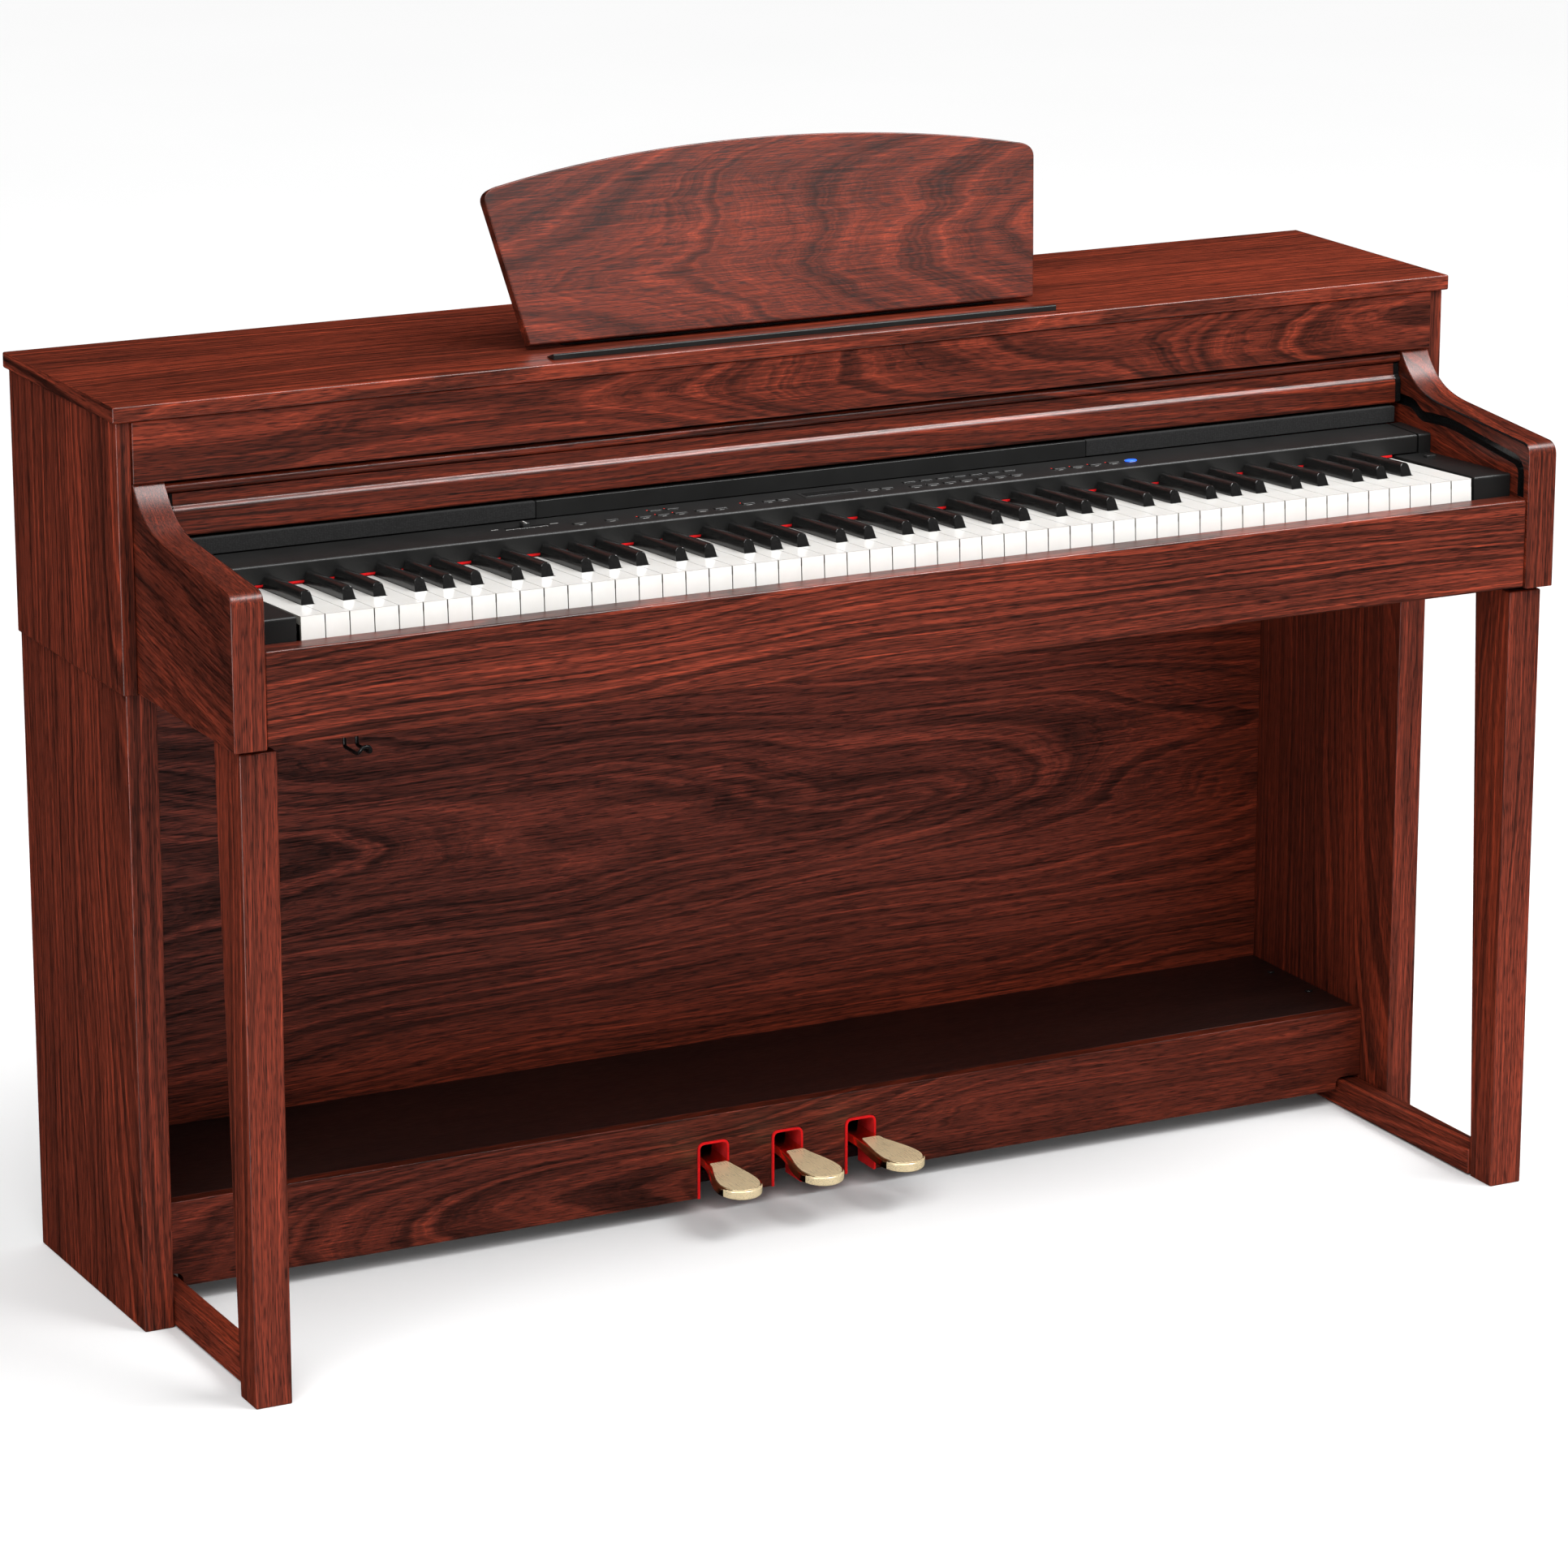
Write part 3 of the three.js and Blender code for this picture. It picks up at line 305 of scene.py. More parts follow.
def felt(name, colour):
    s = Shader(name, colour, 0.95, sheen_weight=0.08, sheen_roughness=0.4,
               specular_ior_level=0.1)
    fibres = s.noise(s.coords(), scale=1500, detail=4, roughness=0.7)
    patches = s.noise(s.coords(), scale=70, detail=3)
    mixed = s.math("ADD", s.math("MULTIPLY", fibres, 0.6), s.math("MULTIPLY", patches, 0.4))
    dark = tuple(c * 0.6 for c in colour)
    light = tuple(min(c * 1.25, 1) for c in colour)
    s.colour(s.ramp(mixed, (0.3, dark), (0.7, light)))
    s.bump(fibres, 0.0003, 0.6)
    return s.material


def steel(name, colour, roughness):
    s = Shader(name, colour, roughness, 1.0)
    brushed = s.noise(s.coords(scale=(40, 1400, 1400)), detail=3)
    dark = tuple(c * 0.7 for c in colour)
    s.colour(s.ramp(brushed, (0.3, dark), (0.7, colour)))
    s.rough(s.range(brushed, roughness - 0.08, roughness + 0.12, 0.3, 0.7))
    s.bump(brushed, 0.00002, 0.4)
    return s.material


def circuit():
    s = Shader("circuit_board_green", (0.01, 0.09, 0.03), 0.35, coat_weight=0.4)
    tracks = s.add("ShaderNodeTexBrick", "Color", Vector=s.coords(), Scale=90.0,
                   Color1=(0.01, 0.10, 0.035, 1), Color2=(0.008, 0.07, 0.025, 1),
                   Mortar=(0.05, 0.22, 0.08, 1), Mortar_Size=0.03)
    s.colour(tracks)
    s.rough(s.range(s.noise(s.coords(), scale=60), 0.25, 0.5))
    return s.material


def glow(name, colour, strength):
    """A small lamp behind a lens, its glow varied by fine noise."""
    s = Shader(name, colour, 0.3, emission_strength=strength)
    spots = s.noise(s.coords(), scale=700, detail=2)
    dim = tuple(c * 0.7 for c in colour)
    s.set(s.principled, "Emission Color", s.ramp(spots, (0.3, dim), (0.7, colour)))
    s.rough(s.range(spots, 0.2, 0.4))
    return s.material


def printed_ink():
    s = Shader("printed_ink", (0.42, 0.42, 0.41), 0.6)
    worn = s.noise(s.coords(), scale=900, detail=2)
    s.colour(s.ramp(worn, (0.3, (0.30, 0.30, 0.29)), (0.7, (0.5, 0.5, 0.49))))
    s.rough(s.range(worn, 0.5, 0.7))
    return s.material


def dark_glass():
    s = Shader("display_window", (0.004, 0.004, 0.004), 0.06, coat_weight=1.0,
               coat_roughness=0.03)
    dust = s.noise(s.coords(), scale=320, detail=3)
    s.colour(s.ramp(dust, (0.3, (0.003, 0.003, 0.003)), (0.75, (0.010, 0.0085, 0.008))))
    s.rough(s.range(dust, 0.05, 0.12))
    return s.material


# Each surface has its own copy of the veneer. The fifth argument lightens or darkens a copy, partly for the
# veneer's own tone and partly as painted light; the lid and the back panel under the keybed are lightened
# most.
WOOD_LID = wood("wood_lid", "x", (2.0, 0.12, -0.9), 0.4, 1.5, 0.95)
WOOD_FASCIA = wood("wood_fascia", "x", (-2.4, 0.0, -0.86), 0.8, 1.15, 1.0, 0.06)
WOOD_SLIP = wood("wood_key_slip", "x", (-1.2, 0.25, -0.52), 0.4, 1.15, 1.15)
WOOD_COVER = wood("wood_cover", "x", (1.4, 0.2, -0.5), 0.4, 1.0)
WOOD_BACK = wood("wood_back_panel", "x", (2.2, -0.24, -0.36), 0.45, 1.5, 0.95, 0.07)
WOOD_PEDAL_BOARD = wood("wood_pedal_board", "x", (-2.0, 0.0, -0.03), 0.5, 0.9)
WOOD_REST = wood("wood_rest", "x", (-2.6, 0.0, -0.06), 0.3, 1.2, 1.0, 0.10)
WOOD_SIDES = {
    "left": wood("wood_side_left", "z", (-2.6, 0.03, -0.7), 0.35, 1.3, 1.0),
    "right": wood("wood_side_right", "z", (-2.6, 0.03, 0.7), 0.35, 1.3, 1.0),
}
WOOD_EDGE = wood("wood_edge_band", "z", (0.1, 0.4, 0.1), 0.4, 1.35, 0.9)
WOOD_ARM = wood("wood_arm", "arm", (1.8, 0.6, -0.7), 0.5, 1.15)
WOOD_ALONG_Y = wood("wood_rail", "y", (0.0, 0.4, 0.2), 0.4, 1.2)
DARK_BOARD = dark_board()
BLACK = moulded("black_moulded", (0.0105, 0.0105, 0.0102), 0.44)
BLACK_CAP = moulded("black_button_cap", (0.022, 0.022, 0.0215), 0.36, 0.2)
GLOSS_BLACK = moulded("black_gloss", (0.006, 0.006, 0.006), 0.16, 0.3, 300, 0.00001)
BLACK_PAINT = moulded("black_paint", (0.008, 0.008, 0.008), 0.3, 0.3, 500, 0.00003)
CONE = moulded("speaker_cone", (0.012, 0.012, 0.012), 0.7, 0.4, 500, 0.0001)
CLOTH = speaker_cloth()
IVORY = ivory()
# The white keys' sides are white plastic; this grey is painted shade that darkens them so the gaps between
# the keys show as dark seams.
KEY_SIDE_PAINTED_SHADE = moulded("white_key_side_painted_shade", (0.26, 0.25, 0.22), 0.5, 0.1)
EBONY = ebony()
BRASS = brass("brass_body", (0.66, 0.46, 0.22), 0.16, 1.0)
# A pale, half-diffuse copy of the brass for the pedal plates and front rims: the polish is real, the light
# colour is painted reflection that stays bright under any lamp.
BRASS_PLATE_PAINTED_REFLECTION = brass("brass_plate_painted_reflection", (0.90, 0.73, 0.45), 0.28, 0.35)
RED_FELT = felt("red_felt", (0.62, 0.008, 0.010))
RED_LINING = felt("red_lining", (0.70, 0.008, 0.009))
STEEL = steel("plain_steel", (0.42, 0.42, 0.43), 0.36)
CIRCUIT = circuit()
INK = printed_ink()
RED_LAMP = glow("red_lamp", (0.9, 0.03, 0.02), 0.6)
BLUE_LAMP = glow("blue_lamp", (0.02, 0.12, 0.95), 1.2)
DISPLAY = dark_glass()


# -------------------------------------------------------------- mesh building


def box_mm(node):
    """The low and high corners of a CAD node, in millimetres."""
    return [[value / MM for value in corner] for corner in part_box(node)]


def mesh_object(name, bm, materials=()):
    """Turns a bmesh into an object of the scene."""
    mesh = bpy.data.meshes.new(name)
    bm.to_mesh(mesh)
    bm.free()
    for material in materials:
        mesh.materials.append(material)
    made = bpy.data.objects.new(name, mesh)
    bpy.context.scene.collection.objects.link(made)
    return made


def piece(name, bm, materials, body, replaces=(), matrix=None, sharp=35):
    """Turns a bmesh in metres into a named piece that rides on a CAD body."""
    bmesh.ops.recalc_face_normals(bm, faces=bm.faces)
    for face in bm.faces:
        face.smooth = True
    made = mesh_object(name, bm, materials)
    made.data.set_sharp_from_angle(angle=math.radians(sharp))
    if matrix is not None:
        made.matrix_world = matrix
    weighted = made.modifiers.new("weighted_normals", "WEIGHTED_NORMAL")
    weighted.keep_sharp = True
    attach(made, body)
    if replaces:
        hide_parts(*replaces)
    return made


def add_block(bm, low, high, radius=0.0, segments=3, material=0):
    """Adds a block between two corners in millimetres, its edges rounded."""
    made = bmesh.ops.create_cube(bm, size=1)
    for vert in made["verts"]:
        vert.co = Vector([(low[i] if vert.co[i] < 0 else high[i]) * MM for i in range(3)])
    faces = {face for vert in made["verts"] for face in vert.link_faces}
    for face in faces:
        face.material_index = material
    if radius:
        edges = {edge for vert in made["verts"] for edge in vert.link_edges}
        bmesh.ops.bevel(bm, geom=list(edges), offset=radius * MM, segments=segments,
                        profile=0.5, affect="EDGES", clamp_overlap=True)


AXIS_ORDER = {"x": (1, 2, 0), "y": (0, 2, 1), "z": (0, 1, 2)}


def add_prism(bm, outline, axis, start, end, radius=0.0, segments=3, material=0, corners=()):
    """Runs a closed outline along an axis. An outline is drawn in (y, z) for x, in
    (x, z) for y and in (x, y) for z. The rims of both ends are rounded to radius, and
    so are the long edges whose outline points are listed in corners."""
    first, second, third = AXIS_ORDER[axis]

    def place(point, along):
        co = [0.0, 0.0, 0.0]
        co[first], co[second], co[third] = point[0] * MM, point[1] * MM, along * MM
        return bm.verts.new(co)

    near = [place(point, start) for point in outline]
    far = [place(point, end) for point in outline]
    count = len(outline)
    faces = [bm.faces.new(near), bm.faces.new(far)]
    for i in range(count):
        j = (i + 1) % count
        faces.append(bm.faces.new((near[i], near[j], far[j], far[i])))
    for face in faces:
        face.material_index = material
    if radius:
        bmesh.ops.recalc_face_normals(bm, faces=faces)
        rims = [edge for face in faces[:2] for edge in face.edges]
        rims += [bm.edges.get((near[i], far[i])) for i in corners]
        bmesh.ops.bevel(bm, geom=rims, offset=radius * MM, segments=segments, profile=0.5,
                        affect="EDGES", clamp_overlap=True)


def add_rod(bm, radius, start, end, sides=24, round_rim=0.0, material=0):
    """Adds a rod between two points in millimetres."""
    a, b = Vector(start) * MM, Vector(end) * MM
    turn = (b - a).to_track_quat("Z", "Y").to_matrix().to_4x4()
    turn.translation = (a + b) / 2
    made = bmesh.ops.create_cone(bm, cap_ends=True, segments=sides, radius1=radius * MM,
                                 radius2=radius * MM, depth=(b - a).length, matrix=turn)
    faces = {face for vert in made["verts"] for face in vert.link_faces}
    for face in faces:
        face.material_index = material
    if round_rim:
        caps = [face for face in faces if len(face.verts) == sides]
        rims = [edge for face in caps for edge in face.edges]
        bmesh.ops.bevel(bm, geom=rims, offset=round_rim * MM, segments=3, profile=0.5,
                        affect="EDGES", clamp_overlap=True)


def add_tube(bm, points, radius, sides=14):
    """Adds a bent wire of round section through points in millimetres."""
    path = [Vector(point) * MM for point in points]
    side = Vector((1, 0, 0))
    rings = []
    for i, point in enumerate(path):
        along = (path[min(i + 1, len(path) - 1)] - path[max(i - 1, 0)]).normalized()
        side = (side - along * side.dot(along)).normalized()
        up = along.cross(side)
        ring = []
        for k in range(sides):
            angle = 2 * math.pi * k / sides
            offset = (side * math.cos(angle) + up * math.sin(angle)) * radius * MM
            ring.append(bm.verts.new(point + offset))
        rings.append(ring)
    for low, high in zip(rings, rings[1:]):
        for k in range(sides):
            n = (k + 1) % sides
            bm.faces.new((low[k], low[n], high[n], high[k]))
    bm.faces.new(rings[0])
    bm.faces.new(rings[-1])


def colour_faces(bm, choose):
    """Sets each face's material index from its normal and centre in millimetres."""
    bmesh.ops.recalc_face_normals(bm, faces=bm.faces)
    bm.normal_update()
    for face in bm.faces:
        index = choose(face.normal, face.calc_center_median() / MM)
        if index is not None:
            face.material_index = index


def bezier(a, b, c, d, count):
    """Points on a cubic curve after its start."""
    points = []
    for i in range(1, count + 1):
        t = i / count
        u = 1 - t
        weights = (u ** 3, 3 * u * u * t, 3 * u * t * t, t ** 3)
        points.append(tuple(sum(w * p[k] for w, p in zip(weights, (a, b, c, d)))
                            for k in range(len(a))))
    return points


def quadratic(a, b, c, count):
    """Points on a quadratic curve after its start."""
    first = tuple(a[k] + (b[k] - a[k]) * 2 / 3 for k in range(len(a)))
    second = tuple(c[k] + (b[k] - c[k]) * 2 / 3 for k in range(len(a)))
    return bezier(a, first, second, c, count)


def arc(centre, radius, start, end, count):
    """Points on a circle, both ends included, angles in degrees."""
    points = []
    for i in range(count + 1):
        angle = math.radians(start + (end - start) * i / count)
        points.append((centre[0] + radius * math.cos(angle),
                       centre[1] + radius * math.sin(angle)))
    return points


def mirrored(outline):
    return [(-x, y) for x, y in reversed(outline)]


# ------------------------------------------------------------- wooden cabinet


def node_slab(node, materials, radius=1.6, rule=None, body=PIANO):
    """A board with rounded edges in the place of a CAD board."""
    low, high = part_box(node)
    bm = bmesh.new()
    add_block(bm, low / MM, high / MM, radius)
    if rule:
        colour_faces(bm, rule)
    return piece(f"{node}_board", bm, materials, body, [node])


def end_faces(axis):
    """A rule that gives a second material to the faces across an axis."""
    return lambda normal, centre: 1 if abs(normal[axis]) > 0.7 else 0


def make_boards():
    node_slab("top_board", [WOOD_LID, WOOD_ALONG_Y], 1.8, end_faces(0))
    for side in ("left", "right"):
        node_slab(f"side_panel_{side}", [WOOD_SIDES[side], WOOD_EDGE], 1.5, end_faces(1))
        node_slab(f"side_plank_{side}", [WOOD_SIDES[side], WOOD_EDGE], 1.6, end_faces(1))
        node_slab(f"foot_rail_{side}", [WOOD_ALONG_Y, WOOD_EDGE], 1.5, end_faces(1))
    node_slab("fascia", [WOOD_FASCIA], 1.2)
    node_slab("key_slip", [WOOD_SLIP], 2.0)
    node_slab("back_panel", [WOOD_BACK], 0.6)
    node_slab("cabinet_back", [DARK_BOARD], 0.8)
    node_slab("pedal_shelf", [DARK_BOARD], 1.0)


def make_bullnose():
    (_, y0, z0), (x, _, _) = box_mm("bullnose_rail")
    radius = 4.8
    nose = [(-4, z0), (-4, z0 + 2 * radius)] + arc((y0 + radius, z0 + radius), radius, 90, 270, 10)
    bm = bmesh.new()
    add_prism(bm, nose, "x", -x, x)
    piece("bullnose_wood", bm, [WOOD_COVER], PIANO, ["bullnose_rail"])


ARM_INNER = 659.4
ARM_OUTER = 691.1
GROOVE_DEPTH = 5
LEG_TOP = 612.8
LEG_BACK_AT_FLOOR = -212.1


def arm_outline():
    """Counter-clockwise in (y, z), starting at the bottom front."""
    (_, front, bottom), (_, back, top) = box_mm("arm_right")
    outline = [(front, bottom), (back, bottom), (back, top), (-25, top)]
    outline += bezier((-25, top), (-42, 785), (-60, 774.5), (-100, 771), 22)
    outline.append((front + 14, 760.3))
    outline += quadratic((front + 14, 760.3), (front, 759.5), (front, 746), 8)
    return outline


def groove_outline(half):
    """The closed band of the cover's guide groove, in (y, z)."""
    spine = [(30, 763), (-42, 763)]
    spine += bezier(spine[-1], (-57, 763), (-58, 753), (-72, 753), 8)
    spine += bezier(spine[-1], (-92, 754.5), (-108, 756), (-132, 753.5), 6)
    spine.append((-228, 741.8))
    spine += quadratic((-228, 741.8), (-243.4, 740), (-243.4, 726), 6)
    spine.append((-243.4, 706))
    sides = ([], [])
    for i, point in enumerate(spine):
        before, after = spine[max(i - 1, 0)], spine[min(i + 1, len(spine) - 1)]
        along = Vector((after[0] - before[0], after[1] - before[1])).normalized()
        for side, band in zip((half, -half), sides):
            band.append((point[0] - along.y * side, point[1] + along.x * side))
    return sides[0] + sides[1][::-1]


def cut_away(target, name, outline, x0, x1):
    """Cuts a prism along X out of a mesh object, and applies the result."""
    bm = bmesh.new()
    add_prism(bm, outline, "x", x0, x1)
    bmesh.ops.recalc_face_normals(bm, faces=bm.faces)
    tool = mesh_object(name, bm)
    boolean = target.modifiers.new("cut", "BOOLEAN")
    boolean.operation = "DIFFERENCE"
    boolean.solver = "EXACT"
    boolean.object = tool
    bpy.context.view_layer.update()
    evaluated = target.evaluated_get(bpy.context.evaluated_depsgraph_get())
    cut = bmesh.new()
    cut.from_mesh(evaluated.data)
    bpy.data.objects.remove(target)
    bpy.data.objects.remove(tool)
    return cut


def make_arm(side):
    """An arm with its guide groove. Its front shows upright grain, the rest runs along it."""
    sign = -1 if side == "left" else 1
    x_inner, x_outer = sorted((sign * ARM_INNER, sign * ARM_OUTER))
    bm = bmesh.new()
    add_prism(bm, arm_outline(), "x", x_inner, x_outer, 1.6, 3)
    bmesh.ops.recalc_face_normals(bm, faces=bm.faces)
    blank = mesh_object("arm_blank", bm)
    reach = sorted((sign * (ARM_INNER - 5), sign * (ARM_INNER + GROOVE_DEPTH)))
    bm = cut_away(blank, "groove_cutter", groove_outline(5.3), *reach)

    def rule(normal, centre):
        in_groove = 0.05 < abs(centre.x) - ARM_INNER < GROOVE_DEPTH + 0.05
        if in_groove and 680 < centre.z < 775 and -252 < centre.y < 25:
            return 2
        return 1 if normal.y < -0.6 and centre.y < -240 else 0

    colour_faces(bm, rule)
    piece(f"arm_{side}_wood", bm, [WOOD_ARM, WOOD_EDGE, GLOSS_BLACK], PIANO,
          [f"arm_{side}"])


def make_leg(side):
    (x0, front, _), (x1, back, cap_top) = box_mm(f"front_leg_{side}")
    outline = [(front, 0), (LEG_BACK_AT_FLOOR, 0), (back, LEG_TOP), (front, LEG_TOP)]
    bm = bmesh.new()
    add_prism(bm, outline, "x", x0, x1, 1.6, 3, 0, range(4))
    colour_faces(bm, end_faces(1))
    add_block(bm, (x0 + 5, front + 10, LEG_TOP - 4), (x1 - 5, back - 8, cap_top), 0.5, 2, 2)
    piece(f"front_leg_{side}_wood", bm, [WOOD_SIDES[side], WOOD_EDGE, BLACK], PIANO,
          [f"front_leg_{side}"])


def make_keybed():
    """The CAD keybed is right as it is, so it only gets its board finish."""
    paint("keybed", DARK_BOARD)


def paint(node, material):
    """Gives a carried-over CAD node a new material."""
    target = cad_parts[node]
    target.data.materials.clear()
    target.data.materials.append(material)


# ------------------------------------------------------------------ key cover

COVER_HALF = 658.6
CAP_WIDTH = 6.6


def cover_profile():
    """The cover from the side, in (y, z): board, front edge, rounded nose and lip."""
    top, under = 799, 791
    profile = [(185, under), (185, top), (-22.5, top), (-23.2, 788.5)]
    profile += bezier((-23.2, 788.5), (-23.4, 785.6), (-27.4, 786.4), (-27.6, 779), 12)
    profile += [(-28, 762.6)]
    profile += quadratic((-28, 762.6), (-28, 759.4), (-25, 759.4), 5)
    profile += [(-19, 759.4)]
    profile += quadratic((-19, 759.4), (-18, 759.4), (-17.6, 760.4), 2)
    profile += [(-12, 786)]
    profile += quadratic((-12, 786), (-11, under), (-6, under), 4)
    return profile


def make_cover():
    inner = COVER_HALF - CAP_WIDTH
    bm = bmesh.new()
    add_prism(bm, cover_profile(), "x", -inner, inner)
    piece("cover_wood", bm, [WOOD_COVER], "cover", ["key_cover"])
    bm = bmesh.new()
    for x0, x1 in ((-COVER_HALF, -inner - 0.2), (inner + 0.2, COVER_HALF)):
        add_prism(bm, cover_profile(), "x", x0, x1, 0.5, 2)
    piece("cover_end_caps", bm, [GLOSS_BLACK], "cover", ["key_cover"])


# ------------------------------------------------------------------- keyboard


def note_of(index):
    """0 for C to 6 for B. The lowest white key is an A."""
    return (index + 5) % OCTAVE


def black_centre(index):
    """The centre of the black key to the right of a white key, or None."""
    offset = BLACK_OFFSETS.get(note_of(index))
    if offset is None or not 0 <= index < WHITE_COUNT - 1:
        return None
    return KEYBOARD_LEFT + (index + 1) * KEY_PITCH + offset


def add_white_key(bm, index):
    """One white key about the pivot line: a notched slab with a deep front."""
    left = KEYBOARD_LEFT + index * KEY_PITCH + KEY_GAP / 2
    right = left + KEY_PITCH - KEY_GAP
    notch = BLACK_FRONT - 2
    lip = WHITE_FRONT + 3
    left_black, right_black = black_centre(index - 1), black_centre(index)
    ring = [(left, WHITE_FRONT), (right, WHITE_FRONT), (right, lip)]
    if right_black is None:
        ring.append((right, KEY_TAIL))
    else:
        inner = right_black - NOTCH_HALF
        ring += [(right, notch), (inner, notch), (inner, KEY_TAIL)]
    if left_black is None:
        ring.append((left, KEY_TAIL))
    else:
        inner = left_black + NOTCH_HALF
        ring += [(inner, KEY_TAIL), (inner, notch), (left, notch)]
    ring.append((left, lip))
    top = [bm.verts.new((x * MM, y * MM, WHITE_TOP * MM)) for x, y in ring]
    under = [bm.verts.new((x * MM, y * MM, (WHITE_TOP - WHITE_SLAB) * MM)) for x, y in ring]
    faces = [bm.faces.new(top)]
    count = len(ring)
    for i in range(count):
        j = (i + 1) % count
        faces.append(bm.faces.new((top[i], top[j], under[j], under[i])))
    strip = bm.faces.new((under[0], under[1], under[2], under[-1]))
    faces.append(bm.faces.new(under[2:]))
    lowered = bmesh.ops.extrude_face_region(bm, geom=[strip])["geom"]
    bottom = [item for item in lowered if isinstance(item, bmesh.types.BMVert)]
    bmesh.ops.translate(bm, verts=bottom, vec=(0, 0, -14 * MM))
    top_edges = set(faces[0].edges)
    fronts = [bm.edges.get((top[i], under[i])) for i in (0, 1)]
    bmesh.ops.bevel(bm, geom=list(top_edges) + fronts, offset=0.3 * MM, segments=2,
                    profile=0.5, affect="EDGES", clamp_overlap=True)


def add_black_key(bm, centre):
    """One black key about the pivot line: tapered, round-shouldered, front leaning back."""
    base, top_half, shoulder = 6.1, 4.4, 2.8
    low, high = WHITE_TOP - 4, WHITE_TOP + BLACK_HEIGHT
    half = [(base, low), (base, WHITE_TOP + 0.8)]
    half += [(top_half + 0.25, high - shoulder)]
    half += bezier(half[-1], (top_half, high - 1.1), (top_half - 0.9, high),
                   (top_half - shoulder, high), 5)
    outline = half + mirrored(half)
    before = set(bm.verts)
    add_prism(bm, [(centre + x, z) for x, z in outline], "y", BLACK_FRONT, BLACK_REAR)
    verts = [v for v in bm.verts if v not in before]
    fronts = [v for v in verts if v.co.y < (BLACK_FRONT + 1) * MM]
    for vert in fronts:
        above = max(vert.co.z / MM - WHITE_TOP, 0)
        vert.co.y += (above * 0.30 + (above / BLACK_HEIGHT) ** 4 * 1.6) * MM
    rims = [e for v in fronts for e in v.link_edges if e.other_vert(v) in fronts]
    bmesh.ops.bevel(bm, geom=list(set(rims)), offset=1.0 * MM, segments=3, profile=0.5,
                    affect="EDGES", clamp_overlap=True)
    add_block(bm, (centre - 4.5, BLACK_FRONT + 8, -4), (centre + 4.5, KEY_TAIL - 1, WHITE_TOP - 2))


def key_matrix():
    return Matrix.Translation(KEY_PIVOT) @ Matrix.Rotation(-KEY_TILT, 4, "X")


def make_keys(name, indices, body, white_node, black_node):
    """The keys over a run of white keys: one piece of whites and one of blacks."""
    bm = bmesh.new()
    for index in indices:
        add_white_key(bm, index)
    # The side faces of the white keys take the grey painted-shade material.
    colour_faces(bm, end_faces(0))
    piece(f"{name}_white", bm, [IVORY, KEY_SIDE_PAINTED_SHADE], body[0], [white_node],
          key_matrix())
    centres = [black_centre(index) for index in indices if black_centre(index) is not None]
    if not centres:
        return
    bm = bmesh.new()
    for centre in centres:
        add_black_key(bm, centre)
    piece(f"{name}_black", bm, [EBONY], body[1], [black_node], key_matrix())


def make_keyboard():
    first_high = LOW_WHITES + OCTAVE
    make_keys("low_keys", range(LOW_WHITES), (PIANO, PIANO), "white_keys_low", "black_keys_low")
    make_keys("high_keys", range(first_high, WHITE_COUNT), (PIANO, PIANO),
              "white_keys_high", "black_keys_high")
    for index in range(LOW_WHITES, first_high):
        letter = NOTE_LETTERS[note_of(index)]
        make_keys(f"{letter}4_key", [index], (f"{letter}4", f"{letter}_sharp4"),
                  f"key_{letter}4", f"key_{letter}_sharp4")
    strip = node_slab("key_felt", [RED_FELT], 0.6)
    strip.visible_glossy = False
    paint("key_frame", STEEL)


# -------------------------------------------------------------- control panel

BUTTON_WIDTH = 12.5
BUTTON_DEPTH = 5.0
BUTTON_ROWS = (
    (-63.5, (-266, -233)),
    (UPPER_ROW, (-181, -163)),
    (LOWER_ROW, (-200, -181, -163, -141, -121)),
    (-60, (-89, -67, -52)),
    (-61, (43, 58)),
    (UPPER_ROW, (89, 107.3, 125.6, 143.9, 162.2, 180.5, 198.8)),
    (LOWER_ROW, (87, 105.3, 123.6, 141.9, 160.2, 178.5, 196.8)),
    (-61.5, (247, 267, 287, 307)),
)
LIT_BUTTON = (327, -61.5)
SLIDER_X, SLIDER_Y, SLIDER_TRAVEL = -317, -53, 18
LAMP_BUTTONS = ((-200, LOWER_ROW), (-181, LOWER_ROW), (-163, LOWER_ROW), (-181, UPPER_ROW),
                (-163, UPPER_ROW), (-89, -60), (247, -61.5), (267, -61.5), (287, -61.5),
                (307, -61.5))


def panel_height(y):
    """The panel's top surface, in millimetres, at a distance from the front."""
    return PANEL_TOP + PANEL_RISE * (y - PANEL_FRONT) / (PANEL_BACK - PANEL_FRONT)


def buttons():
    return [(x, y) for y, xs in BUTTON_ROWS for x in xs]


def make_panel():
    """The shell with a softly rounded front edge, as one bent sheet."""
    (_, _, z0), (x, _, _) = box_mm("control_panel")
    wall, radius = 3.0, 2.6
    edge = arc((PANEL_FRONT + radius, PANEL_TOP - radius), radius, 180, 90, 7)
    outline = [(PANEL_FRONT, z0)] + edge + [(PANEL_BACK, PANEL_TOP + PANEL_RISE)]
    outline += [(PANEL_BACK, PANEL_TOP + PANEL_RISE - wall),
                (PANEL_FRONT + wall, PANEL_TOP - wall), (PANEL_FRONT + wall, z0)]
    bm = bmesh.new()
    add_prism(bm, outline, "x", -x, x, 0.6, 2)
    piece("panel_shell", bm, [BLACK], PIANO, ["control_panel"])


